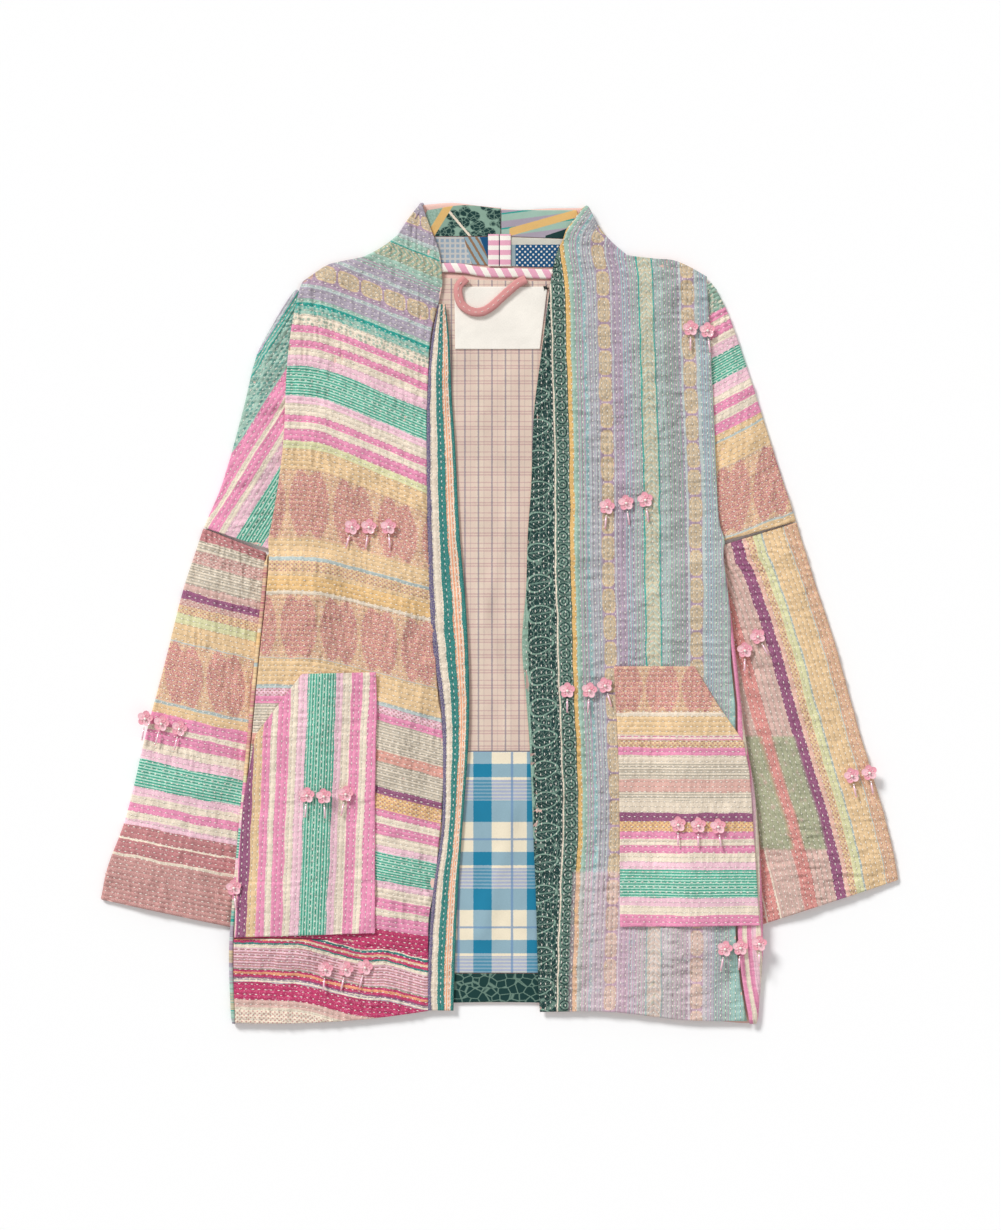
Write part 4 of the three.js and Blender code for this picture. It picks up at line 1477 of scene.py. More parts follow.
FRONT_RIGHT_CHART = Stripe.read(
    "14 lavender, 14 mauve, 12 lavender, 2 ice, 10 mint flecks teal, 2 teal, 14 sage speckle beige, "
    "1.6 teal, 8.4 mint, 8 mint lines mauve, 6 lavender, 3 ice, 6 lavender, 22 mauve, 4 ice, "
    "8 lavender, 6 mint, 1.6 teal, 9 mint floral teal, 10 cream floral sage, 7 pink, 7.5 cream, "
    "10 pink, 8 cream, 11 blush, 29 green lines foam, 8 blush, 9 cream, 10 pink, 8 cream, 9 pink, "
    "8 lime, 24 yellow flecks brown, 66 straw speckle rose, 1.5 steel, 19 yellow, 1.5 ice, 2 cream, "
    "10 straw dots brick, 2 yellow, 16 gold, 6 stone flecks grey, 60 straw speckle rose, 1.2 ice, "
    "27 yellow, 2 ice, 11 blush dots brick, 7 pink, 28 stone lines grey, 13 salmon, "
    "24 stone lines grey, 9 plum, 13 gold dots brick, 8 pink, 8 cream, 10 pink, 12 cream, 10 blush, "
    "28 green lines foam, 10 blush, 10 cream, 9 pink, 9 cream, 15 pink, 200 magenta")
FRONT_RIGHT_TOP = 453.0
FRONT_RIGHT_CHAINS = (
    Chain(21, 7, 17, Motif.MEDALLION, Dye.BEIGE, Dye.MAUVE),
    Chain(110, 8.5, 23, Motif.MEDALLION, Dye.BEIGE, Dye.MAUVE),
    Chain(61, 7, 9, Motif.ARROW, Dye.SAGE, Dye.BEIGE), Chain(343, 33, 44, Motif.BLOOMS, Dye.STRAW, Dye.ROSE),
    Chain(466, 30, 40, Motif.BLOOMS, Dye.STRAW, Dye.ROSE),
)
FRONT_LEFT_CHART = Stripe.read(
    "30.5 sage, 1.8 cream, 13.5 forest, 4.7 mustard, 4 mint, 6 mint lines mauve, 1.5 mauve, 3 aqua, "
    "12.5 lavender lines ice, 13 mauve, 1.8 ice, 8 lavender lines mauve, 10 mauve lines aqua, "
    "10.5 mint lines mauve, 1.6 teal, 14 sage, 1.6 teal, 9.9 mint lines lavender, "
    "15.4 sage lines mauve, 2.5 lavender, 2 ice, 13.5 mauve, 3 ice, 9 lavender lines aqua, "
    "8 lavender lines mint, 8 mint lines mauve, 12 mint lines aqua, 60 mint lines sage")
FRONT_LEFT_START = 20.5
FRONT_LEFT_CHAINS = (
    Chain(16.5, 14, 31, Motif.LEAF, Dye.FOREST, Dye.SAGE),
    Chain(39, 6.3, 13, Motif.ROSETTE, Dye.FOREST, Dye.SAGE),
    Chain(84, 6.6, 26.4, Motif.MEDALLION, Dye.BEIGE, Dye.MAUVE),
    Chain(129.4, 6.8, 24, Motif.ARROW, Dye.PEBBLE, Dye.BEIGE),
    Chain(174.5, 6.8, 27, Motif.MEDALLION, Dye.BEIGE, Dye.MAUVE),
)
BAND_CHART = Stripe.read("4 indigo speckle grey, 7 cream, 8 pine, 8 orange lines cream, 3.5 pine")
HEM_CHART = Stripe.read(
    "21.5 magenta flecks pink, 1.5 cream, 2 pine, 2.2 magenta, 3 orange lines cream, 1.8 magenta, "
    "2 pine, 3 cream, 21 blush lines brick, 1.5 grey, 2.5 magenta, 2.5 orange, 3 magenta, 1.7 plum, "
    "3.5 cream lines lavender, 17 magenta flecks pink, 8 dusty, 3 cream, 40 cream dots brick")
HEM_TOP = -295.0
HEM_FALL = ((-260, 0), (-217, 1.7), (-190, 4.2), (-163, 11.8), (-137.5, 17.8), (-125.6, 18.6), (-112, 19),
            (-75, 28.7))
SLEEVE_UPPER_RIGHT_CHART = Stripe.read(
    "10 lavender, 6 mint lines teal, 6 lavender lines ice, 8 mint lines teal, 23 mint floral pine, "
    "14 pink, 5 cream, 11 pink, 5 cream, 12 blush, 27 green lines foam, 8 blush, 8 cream, 10 pink, "
    "8 cream, 40 pink")
SLEEVE_LOWER_RIGHT_CHART = Stripe.read(
    "12 brick speckle rose, 10 stone lines grey, 15 dusty dots brick, 22 stone lines grey, 7 dusty, "
    "8 plum, 6 dusty dots brick, 8.4 straw dots brick, 10.1 lime, 17 yellow, 2 ice, "
    "60 straw speckle rose, 2 ice, 11 yellow, 12 pink, 5 cream, 11 pink, 10 cream, 9.5 blush, "
    "24.5 green lines foam, 9 blush, 9 cream, 10 pink, 7.5 cream, 5 blush, 11 brick speckle rose, "
    "2 cream, 16 brick speckle rose, 3 cream, 90 brick speckle dusty")
SLEEVE_LOWER_RIGHT_CHAINS = (Chain(147.5, 29, 42, Motif.BLOOMS, Dye.STRAW, Dye.ROSE),)
SLEEVE_UPPER_LEFT_CHART = Stripe.read(
    "40 sage floral stone, 8 pink, 6 cream, 10 pink, 8 cream, 12 blush, 27 green lines foam, 12 blush, "
    "8 cream, 11 pink, 9 cream, 12 pink, 7 yellow, 1.5 ice, 26 yellow, 1.5 ice, 66 straw speckle rose, "
    "1.5 ice, 30 yellow")
SLEEVE_UPPER_LEFT_CHAINS = (Chain(232, 32.5, 42, Motif.BLOOMS, Dye.STRAW, Dye.ROSE),)
SLEEVE_LOWER_LEFT_CHART = Stripe.read(
    "12 straw speckle rose, 1.5 ice, 20 yellow, 1.5 ice, 8 lime, 7 straw dots brick, "
    "4 salmon speckle cream, 11 plum, 20 dusty ribs taupe, 13 salmon speckle crimson, "
    "25 dusty ribs taupe, 1.5 cream, 12 salmon speckle crimson, 1.5 cream, 80 salmon speckle crimson")
POCKET_RIGHT_CHART = Stripe.read(
    "6 cream, 1.3 pink, 10 plum, 8.5 straw, 7.8 pink, 6.3 cream, 12 pink, 7.3 cream, 9.7 blush, "
    "27 green lines foam, 7.3 blush, 8.5 cream, 10.2 pink, 7.3 cream, 30 pink")
POCKET_LEFT_CHART = Stripe.read(
    "45 straw speckle rose, 4 cream, 19 yellow, 5 cream lines pink, 7.5 straw dots brick, 7.5 pink, "
    "8 stone, 16 stone lines grey, 12.5 dusty speckle salmon, 8 stone lines grey, 13 stone, 9 plum, "
    "9 gold dots brick, 7.5 pink, 7 cream, 8 pink, 8 cream, 8 blush, 28 green lines foam, 9 blush, "
    "8 cream, 30 pink")
POCKET_LEFT_CHAINS = (Chain(22, 23, 36, Motif.BLOOMS, Dye.STRAW, Dye.ROSE),)
BACK_CHART = Stripe.read(
    "4 pink, 4 cream, 5 pink, 4 blush, 5 cream, 5 pink, 5 cream, 8 blush, 27 green lines foam, "
    "10 blush, 9 cream, 10 pink, 66 straw speckle rose, 19 yellow, 10 straw dots brick, 16 gold, "
    "60 straw speckle rose, 27 yellow, 12 stone, 16 stone lines grey, 13 dusty speckle salmon, "
    "16 stone lines grey, 8 stone, 9 plum, 13 gold, 8 pink, 12 cream, 10 blush, 28 green lines foam, "
    "10 blush, 10 cream, 9 pink, 100 cream")


@dataclass
class Facts:
    """What is known of a piece of cloth."""

    nodes: tuple[str, ...]
    slot: str
    flat: Point
    rests_on: tuple[str, ...] = ()
    area: float | None = None
    held: str = "laid"


def enter(obj: bpy.types.Object, facts: Facts) -> None:
    """Ride a piece of cloth on the jacket, hide its plain solids and log its points and faces.

    Args:
        obj: The piece.
        facts: What is known of the piece; its plain solids are hidden.
    """
    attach(obj, "root")
    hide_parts(*facts.nodes)
    width, length = facts.flat
    width * MM
    length * MM
    None if facts.area is None else facts.area * MM * MM
    LOG.info("%s: %d points, %d faces", obj.name, len(obj.data.vertices), len(obj.data.polygons))


def sewn(name: str, grid: Grid, thickness: float, quilting: Quilting, cloth: StripedCloth,
         backing: bpy.types.Material,
         stitches: StitchWork, group: str, lengthwise_rows: bool, show: Array | None = None,
         coarse: tuple[int, int] = (4, 3)) -> bpy.types.Object:
    """Make a quilted panel and run its stitches.

    Args:
        name: The piece's name.
        grid: Its mid-cloth grid.
        thickness: Its thickness.
        quilting: Its relief.
        cloth: Its outer finish.
        backing: Its inner finish.
        stitches: Where its stitches are gathered.
        group: The stitch piece that they join.
        lengthwise_rows: Whether the stitch rows run along the grid's rows.
        show: Where the outer relief and stitches are full, from 0 to 1.
        coarse: Every how manyth row and column the inner face keeps.

    Returns:
        The panel.
    """
    relief = quilting.relief(grid.along, grid.across)
    if show is not None:
        relief = relief * show
    obj = cloth_object(name, grid, thickness, relief, (cloth.material(), backing), coarse)
    share = grid.rim_share(thickness * 0.6)
    outer = grid.points + grid.normals() * (share * (thickness / 2 + relief) + 0.2)[..., None]
    stitches.sew(group, grid, outer, lengthwise_rows, None if show is None else show > 0.6, quilting.seed)
    return obj


# ---------------------------------------------------------------------------
# The jacket's parts
# ---------------------------------------------------------------------------


@dataclass
class Collar:
    """Turn of a front over the shoulder and its run round the back of the neck."""

    name: str
    node: str
    slot: str
    fold: tuple[Point, Point]
    bulge: Point
    behind: tuple
    flat: Point

    def build(self, cloth: StripedCloth, backing: bpy.types.Material,
              place: Callable[[Array, Array], Array]) -> None:
        """Make the turned collar.

        Args:
            cloth: The front's cloth.
            backing: The inner finish.
            place: Gives the place across the chart for points.
        """
        columns = np.linspace(0, 1, 40)
        tip, neck = (np.array(p, float) for p in self.fold)
        bulge = np.array(self.bulge, float)
        inward = bulge / np.linalg.norm(bulge)
        line = tip + columns[:, None] * (neck - tip) + (4 * columns * (1 - columns))[:, None] * bulge
        turns = []
        for angle in np.linspace(0.12, math.pi, 14):
            reach = SIDE_TURN + QUILT / 2 - SIDE_TURN * math.sin(angle)
            flat = line + inward * reach
            turns.append(np.column_stack([flat,
                                          np.full(len(flat), BACK_MID + SIDE_TURN * (1 + math.cos(angle)))]))
        start = turns[-1]
        ribs = [(start[0, :2], start[-1, :2], self.bulge), *self.behind]
        body, _, _ = rib_grid(ribs, np.linspace(0, 1, 48)[1:], columns, BACK_MID)
        points = np.concatenate([np.array(turns), body])
        along = np.cumsum(np.vstack([np.zeros((1, 40)), np.linalg.norm(np.diff(points, axis=0), axis=2)]),
                          axis=0)
        grid = Grid(points, along, place(points[..., 0], points[..., 1]))
        if grid.normals()[0, :, 2].mean() < 0:
            grid = grid.mirrored()
        obj = cloth_object(self.name, grid, QUILT, 0.0, (cloth.material(), backing), (1, 1))
        enter(obj, Facts((self.node,), self.slot, self.flat, ("back_panel",), held="folded"))


@dataclass
class RightFront:
    """Right front, its rows of stitches along the stripes, with its collar half."""

    bottom: float = -324.0
    top: float = 451.0
    row_step: float = 1.3
    column_step: float = 1.75

    @staticmethod
    def _left(y: Array) -> Array:
        """The outline on the wearer's right, from hem to collar.

        Args:
            y: Places up the jacket.

        Returns:
            X of the outline.
        """
        side = edge_x(SIDE_RIGHT, y) + SIDE_REACH - SEAM_CLOSE
        armhole = edge_x(ARMHOLE_RIGHT, y)
        shoulder = edge_x(SHOULDER_RIGHT, y)
        blend = ease(52, 80, y)
        return np.where(y < 330, side * (1 - blend) + armhole * blend, shoulder) + 0.3

    def grid(self) -> Grid:
        """The panel's grid, rows along the stripes.

        Returns:
            The grid.
        """
        rows = spaced(self.top - self.bottom, self.row_step)
        columns = spaced(180.0, self.column_step)
        q = self.bottom + rows * (self.top - self.bottom)
        probe = np.linspace(-276, -50, 600)
        starts, ends = [], []
        for level in q:
            y = level - front_slope(level) * front_lines(probe)
            inside = (probe > self._left(y)) & (probe < edge_x(FREE_EDGE_RIGHT, y) - 0.3)
            hits = np.nonzero(inside)[0]
            starts.append(probe[hits[0]] if len(hits) else np.nan)
            ends.append(probe[hits[-1]] if len(hits) else np.nan)
        starts, ends = np.array(starts), np.array(ends)
        good = ~np.isnan(starts) & (ends - starts > 1.5)
        q, starts, ends = q[good], starts[good], ends[good]
        kernel = np.ones(5) / 5
        for edge in (starts, ends):
            edge[2:-2] = np.convolve(edge, kernel, "valid")
        x = starts[:, None] + columns[None, :] * (ends - starts)[:, None]
        y = q[:, None] - front_slope(q)[:, None] * front_lines(x)
        away = (x - starts[:, None]) / (ends - starts)[:, None]
        shoulder = ease(318, 331, y) * ease(0.14, 0.0, away) * ease(131, 146, np.abs(x))
        z = front_height(x, y) - (FRONT_MID - SHOULDER_MID) * shoulder
        return Grid(np.dstack([x, y, z]), x + 300.0, FRONT_RIGHT_TOP - np.broadcast_to(q[:, None], x.shape))

    def build(self, backing: bpy.types.Material, stitches: StitchWork) -> None:
        """Make the panel and its collar half.

        Args:
            backing: The inner finish.
            stitches: Where the stitches are gathered.
        """
        cloth = StripedCloth("right front stripes", FRONT_RIGHT_CHART, FRONT_RIGHT_CHAINS, seed=1.0)
        obj = sewn("front_right_cloth", self.grid(), QUILT, Quilting(seed=11), cloth, backing, stitches,
                   "stitches_front_right", True, coarse=(5, 6))
        enter(obj, Facts(("front_right",), "front_right_stripes", (205, 790), ("back_panel_cloth",), 127000))
        Collar("collar_turn_right", "front_right", "front_right_stripes", ((-78, 411), (-136, 356)),
               (5.3, -5.6),
               (((-47, 410), (-92, 346.4), (1.5, -1.5)), ((-20, 407), (-45, 342.3)),
                ((1.2, 405), (1.2, 340.8))),
               (75, 125)).build(cloth, backing, lambda x, y: FRONT_RIGHT_TOP - front_stripe(x, y))


@dataclass
class LeftFront:
    """Left front, its rows of stitches up the cloth, with its collar half."""

    column_step: float = 1.3
    row_step: float = 1.75
    crown: float = 335.0
    near: float = 62.0
    far: float = 196.0

    HEM = ((20, -400), (40, -399), (75, -397.4), (105, -398), (130, -400.3), (170, -405), (210, -407.3),
           (250, -405))
    DRIFT = ((-410, 5.0), (-325, 7.0), (-276, 9.0), (-201, 11.7), (-126, 9.5), (-67, 7.0), (0, 5.5),
             (45, 4.0),
             (143, 3.5), (263, 0.5), (334, -2.0), (362, -6.5), (378, -5.0), (395, 6.0), (407, 15.0))

    @classmethod
    def stripe(cls, x: Array, y: Array) -> Array:
        """Place across the chart of a point.

        Args:
            x: Places across the jacket.
            y: Places up the jacket.

        Returns:
            Millimetres across the chart.
        """
        drift = through(cls.DRIFT, y) * ease(236, 96, x)
        lean = -7.5 * ease(60, 330, y) * ease(110, 190, x)
        return x - drift - lean - FRONT_LEFT_START

    @staticmethod
    def _right(y: Array) -> Array:
        """The outline on the wearer's left.

        Args:
            y: Places up the jacket.

        Returns:
            X of the outline.
        """
        side = np.minimum(edge_x(WRAP_LEFT, y), edge_x(SIDE_LEFT, y) - SIDE_REACH)
        armhole = edge_x(ARMHOLE_LEFT, y)
        blend = ease(52, 80, y)
        fuller = 5.5 * ease(-60, 10, y) * ease(92, 66, y)
        return side * (1 - blend) + armhole * blend + fuller - 0.3

    def grid(self) -> Grid:
        """The panel's grid, columns up the stripes.

        Returns:
            The grid.
        """
        left, right = edge_x(FREE_EDGE_LEFT, self.crown) + 0.4, float(self._right(np.array(self.crown)))
        columns = spaced(right - left, self.column_step)
        rows = spaced(740.0, self.row_step)
        anchor = left + columns * (right - left)
        top = through(CROWN_LEFT, anchor) - 0.3
        hem = through(self.HEM, anchor)
        y = hem[None, :] + rows[:, None] * (top - hem)[None, :]
        low, high = edge_x(FREE_EDGE_LEFT, y) + 0.4, self._right(y)
        move = through(self.DRIFT, np.minimum(y, self.crown)) - through(self.DRIFT, self.crown)
        first, second = self.near + 6 + move, np.broadcast_to(self.far, y.shape)
        uniform = np.broadcast_to(anchor[None, :], y.shape)
        near, far = self.near + 6, self.far
        part = np.where(uniform < near, low + (uniform - left) / (near - left) * (first - low),
                        np.where(uniform < far, first + (uniform - near) / (far - near) * (second - first),
                                 second + (uniform - far) / (right - far) * (high - second)))
        x = np.where(y > self.crown, uniform, part)
        away = (right - x) / (right - left)
        shoulder = ease(318, 331, y) * ease(0.14, 0.0, away) * ease(131, 146, np.abs(x))
        over_side = 2.2 * ease(-60, 10, y) * ease(100, 70, y) * ease(26, 4, self._right(y) - x)
        z = front_height(x, y) - (FRONT_MID - SHOULDER_MID) * shoulder + over_side
        return Grid(np.dstack([x, y, z]), y + WEAVE_START, self.stripe(x, y))

    def build(self, backing: bpy.types.Material, stitches: StitchWork) -> None:
        """Make the panel and its collar half.

        Args:
            backing: The inner finish.
            stitches: Where the stitches are gathered.
        """
        cloth = StripedCloth("left front stripes", FRONT_LEFT_CHART, FRONT_LEFT_CHAINS, seed=2.0,
                             patches=((35, 190, 45, 190, Dye.BLUSH, 0.35),))
        obj = sewn("front_left_cloth", self.grid(), QUILT, Quilting(seed=21), cloth, backing, stitches,
                   "stitches_front_left", False, coarse=(6, 5))
        enter(obj, Facts(("front_left",), "front_left_stripes", (212, 806), ("back_panel_cloth",), 152000))
        Collar("collar_turn_left", "front_left", "front_left_stripes", ((87, 407.5), (128, 357.5)),
               (-3.4, -2.8),
               (((52, 404.5), (86, 344.4), (-1, -1)), ((22, 403), (44, 340.2)), ((1.8, 404), (1.8, 340.6))),
               (68, 120)).build(cloth, backing, self.stripe)


@dataclass
class Bands:
    """Front band beside the opening and the hem band of the right front."""

    BAND_RIBS = (
        ((-46, -397), (-71.2, -396.5)), ((-45, -363), (-71.6, -362)), ((-42, -288), (-67, -284)),
        ((-37, -214), (-57.6, -213)), ((-31.5, -139), (-56.6, -139)), ((-30, -92), (-58.8, -91)),
        ((-31, -42), (-65.6, -42)), ((-34, 13), (-69.8, 13)), ((-40, 83), (-72, 83)),
        ((-44, 163), (-72.8, 163)),
        ((-48, 223), (-71.8, 223)), ((-50, 272), (-67.8, 272)), ((-54, 308), (-61, 308)),
    )

    def _front_band(self, backing: bpy.types.Material, stitches: StitchWork) -> None:
        """The striped band beside the opening.

        Args:
            backing: The inner finish.
            stitches: Where the stitches are gathered.
        """
        width = sum(stripe.width for stripe in BAND_CHART)
        points, c, _ = rib_grid(self.BAND_RIBS, spaced(706, 2.0), spaced(26, 0.85), band_height)
        points, c = points[:, ::-1], c[:, ::-1]
        grid = Grid(points, points[..., 1] + WEAVE_START, (1 - c) * width)
        cloth = StripedCloth("front band stripes", BAND_CHART, seed=3.0, ragged=0.7)
        obj = sewn("front_band_cloth", grid, QUILT, Quilting(depth=0.8, pucker=0.8, swell=0.5, seed=31),
                   cloth, backing, stitches,
                   "stitches_bands", False, coarse=(3, 4))
        enter(obj, Facts(("front_band_right",), "front_band", (26, 706), ("back_lining_upper_cloth",)))

    def _hem_band(self, backing: bpy.types.Material, stitches: StitchWork) -> None:
        """The magenta striped band at the right front's hem.

        Args:
            backing: The inner finish.
            stitches: Where the stitches are gathered.
        """
        close = SIDE_REACH - SEAM_CLOSE
        ribs = [((-71, -397), (edge_x(SIDE_RIGHT, -409) + close, -409), (0, -5)),
                ((-71, -362), (edge_x(SIDE_RIGHT, -367) + close, -367), (0, -3)),
                ((-71, -337.5), (edge_x(SIDE_RIGHT, -325) + close, -325), (0, 5.0))]
        points, _, _ = rib_grid(ribs, spaced(80, 1.2), spaced(190, 1.8), front_height)
        points = points[:, ::-1]
        x, y = points[..., 0], points[..., 1]
        across = HEM_TOP - y - through(HEM_FALL, x)
        cloth = StripedCloth("hem band stripes", HEM_CHART, seed=4.0, ragged=0.6, waver=1.4)
        obj = sewn("hem_band_cloth", Grid(points, x + 300, across), QUILT, Quilting(seed=41), cloth,
                   backing, stitches,
                   "stitches_bands", True)
        enter(obj, Facts(("hem_band_right",), "hem_band", (194, 84), ("back_panel_cloth",), 14300))

    def build(self, backing: bpy.types.Material, stitches: StitchWork) -> None:
        """Make both bands."""
        self._front_band(backing, stitches)
        self._hem_band(backing, stitches)


class Side(Enum):
    """Which of the wearer's sides."""

    RIGHT = -1
    LEFT = 1


def lengthways(_x: Array, y: Array, _share: Array, _station: Array) -> Array:
    """Place down the sleeve."""
    return 400.0 - y


def sideways(x: Array, _y: Array, _share: Array, _station: Array) -> Array:
    """Place away from the jacket's middle."""
    return np.abs(x)


def slanting(x: Array, y: Array, _share: Array, _station: Array) -> Array:
    """Place across the upper right sleeve's steep stripes."""
    return 0.848 * x - 0.53 * y + 363.5


def climbing(x: Array, y: Array, _share: Array, _station: Array) -> Array:
    """Place across the upper left sleeve's slanting stripes."""
    return 338.0 - (y - through(((70, 0.3), (180, 0.52), (330, 0.56)), y) * (x - 211.5))


def from_elbow(_x: Array, _y: Array, _share: Array, station: Array) -> Array:
    """Distance down the lower right sleeve, measured at the outer fold."""
    reach = (0, 23.9, 68, 142.2, 212.5, 297.9, 350, 385)
    return np.interp(station, np.linspace(0, 1, len(reach)), reach)


def from_fold(_x: Array, _y: Array, share: Array, station: Array) -> Array:
    """Distance across the lower left sleeve, measured from the outer fold."""
    stations, widths = (0, 0.14, 0.28, 0.43, 0.57, 0.71, 0.86, 1), (74.6, 78, 107, 135, 163, 183, 190, 191)
    return share * np.interp(station, stations, widths)


@dataclass
class SleevePart:
    """One half of a sleeve, laid flat in two layers that join at the folds."""

    name: str
    node: str
    slot: str
    side: Side
    ribs: tuple
    tube: bool
    cloth: StripedCloth
    across: Callable[[Array, Array, Array, Array], Array]
    along: Callable[[Array, Array, Array, Array], Array]
    fine_rows: float
    fine_columns: float
    width: float
    length: float
    flat: Point
    area: float
    stitch_rows: bool

    def build(self, backing: bpy.types.Material, stitches: StitchWork) -> None:
        """Make the part.

        Args:
            backing: The inner finish.
            stitches: Where the stitches are gathered.
        """
        rows = spaced(self.length, self.fine_rows)
        flat, _, _ = rib_grid(self.ribs, rows, np.array([0.0, 1.0]), 0.0)
        outer, inner = flat[:, 0], flat[:, 1]
        inwards = inner - outer
        inwards /= np.linalg.norm(inwards, axis=1, keepdims=True)
        reach = SLEEVE_TURN + QUILT / 2
        start = outer + inwards * reach
        end = inner - inwards * reach if self.tube else inner
        station = rows[:, None]
        upper = np.linspace(0, 1, max(8, round(self.width / self.fine_columns)) + 1)
        lower = np.linspace(0, 1, 13)

        def layer(share: Array, above: float) -> Array:
            """Points of one layer, from the inner edge to the outer fold.

            Args:
                share: Places from the inner edge to the outer fold.
                above: 0 for the lower layer, 1 for the upper.

            Returns:
                The points.
            """
            p = end[:, None] * (1 - share[None, :, None]) + start[:, None] * share[None, :, None]
            rise = 2 * SLEEVE_TURN + sleeve_puff(p[..., 0], p[..., 1], share[None, :], station)
            p = p.copy()
            p[..., 2] = BACK_MID + above * rise
            return p

        def turn(centre: Array, sign: float) -> Array:
            """Points round a fold, from below to above.

            Args:
                centre: Middle of the fold.
                sign: -1 for the outer fold, 1 for the inner.

            Returns:
                The points.
            """
            angles = np.linspace(0, math.pi, 8)[1:-1]
            p = centre[:, None] + inwards[:, None] * (sign * SLEEVE_TURN * np.sin(angles))[None, :, None]
            p = p.copy()
            p[..., 2] = BACK_MID + SLEEVE_TURN * (1 - np.cos(angles))[None, :]
            return p

        parts = [layer(lower, 0.0), turn(start, -1.0), layer(upper, 1.0)[:, ::-1]]
        if self.tube:
            parts.append(turn(end, 1.0)[:, ::-1])
        points = np.concatenate(parts, axis=1)
        if self.side is Side.LEFT:
            points = points[:, ::-1]
        x, y = points[..., 0], points[..., 1]
        span = np.linalg.norm(inner - outer, axis=1)[:, None]
        reach_in = np.einsum("rck,rk->rc", points - outer[:, None], inwards)
        share = reach_in / span
        along = self.along(x, y, share, np.broadcast_to(station, x.shape))
        across = self.across(x, y, share, np.broadcast_to(station, x.shape))
        top = ease(BACK_MID + SLEEVE_TURN, BACK_MID + 2 * SLEEVE_TURN - 0.2, points[..., 2])
        grid = Grid(points, along, across, ring=self.tube)
        if grid.normals()[..., 2][points[..., 2] > BACK_MID + 3].mean() < 0:
            grid = grid.mirrored()
            top = top[:, ::-1]
        seed = 51 + len(self.name)
        obj = sewn(self.name, grid, QUILT, Quilting(seed=seed), self.cloth, backing, stitches,
                   f"stitches_sleeve_{self.side.name.lower()}", self.stitch_rows, top, coarse=(4, 4))
        enter(obj, Facts((self.node,), self.slot, self.flat, (), self.area))


@dataclass
class Sleeves:
    """Both sleeves, each in two parts joined at the elbow."""

    @staticmethod
    def _seam(armhole: tuple, outward: int, y: float) -> Point:
        """Where a sleeve's inner edge goes under the front."""
        return (float(edge_x(armhole, y)) - outward * ARMHOLE_LAP, y)

    def parts(self) -> list[SleevePart]:
        """The four parts.

        Returns:
            The parts.
        """
        right = [((-203.5, 323.5), 320), ((-211, 314), 308), ((-225, 291), 282), ((-243, 256), 244),
                 ((-257, 200), 186), ((-276.5, 131), 116),
                 ((-295.7, 85.5), 63.5)]
        left = [((211.5, 330.5), 326), ((217.5, 321), 314), ((228, 300), 290), ((243, 258), 245),
                ((261, 202), 188), ((279, 145), 128),
                ((296.5, 91.6), 70)]
        upper_right = tuple((p, self._seam(ARMHOLE_RIGHT, -1, y)) for p, y in right)
        upper_left = tuple((p, self._seam(ARMHOLE_LEFT, 1, y)) for p, y in left)
        lower_right = (((-296, 84.7), (-233.5, 60.4)), ((-303.5, 62), (-233, 42)), ((-317, 20), (-224, -4)),
                       ((-335, -52), (-212, -80)), ((-353, -120), (-208, -152)), ((-373, -203), (-210, -235)),
                       ((-391, -252), (-213, -288)), ((-398.6, -286), (-216, -325)))
        lower_left = (((296.8, 90.6), (222, 67.5)), ((303.5, 68), (222.5, 45.3)), ((316, 28), (213, 0)),
                      ((335, -30), (203, -60)), ((358, -113), (199, -150)), ((380, -186), (203, -230)),
                      ((392, -232), (210, -285)), ((398.6, -266.5), (217, -326)))

        return [
            SleevePart("sleeve_upper_right_cloth", "sleeve_upper_right", "sleeve_upper_right_stripes",
                       Side.RIGHT,
                       upper_right, False, StripedCloth("upper right sleeve stripes",
                                                        SLEEVE_UPPER_RIGHT_CHART, seed=5.0),
                       slanting, lengthways, 1.6, 1.4, 60, 250, (150, 262), 24500, False),
            SleevePart("sleeve_lower_right_cloth", "sleeve_lower_right", "sleeve_lower_right_stripes",
                       Side.RIGHT,
                       lower_right, True,
                       StripedCloth("lower right sleeve stripes", SLEEVE_LOWER_RIGHT_CHART,
                                    SLEEVE_LOWER_RIGHT_CHAINS,
                                    seed=6.0, waver=1.5),
                       from_elbow, sideways, 1.45, 1.8, 150, 400, (368, 400), 121000, True),
            SleevePart("sleeve_upper_left_cloth", "sleeve_upper_left", "sleeve_upper_left_stripes", Side.LEFT,
                       upper_left, False,
                       StripedCloth("upper left sleeve stripes", SLEEVE_UPPER_LEFT_CHART,
                                    SLEEVE_UPPER_LEFT_CHAINS,
                                    seed=7.0, waver=1.2),
                       climbing, sideways, 1.4, 1.6, 60, 250, (150, 262), 23800, True),
            SleevePart("sleeve_lower_left_cloth", "sleeve_lower_left", "sleeve_lower_left_stripes", Side.LEFT,
                       lower_left, True,
                       StripedCloth("lower left sleeve stripes", SLEEVE_LOWER_LEFT_CHART, seed=8.0,
                                    patches=((525, 634, 66, 84, Dye.OLIVE, 0.75),
                                                       (525, 634, 98, 126, Dye.OLIVE, 0.75))),
                       from_fold, lengthways, 1.8, 1.45, 170, 385, (384, 396), 128000, False),
        ]

    def build(self, backing: bpy.types.Material, stitches: StitchWork) -> None:
        """Make all four parts."""
        for part in self.parts():
            part.build(backing, stitches)


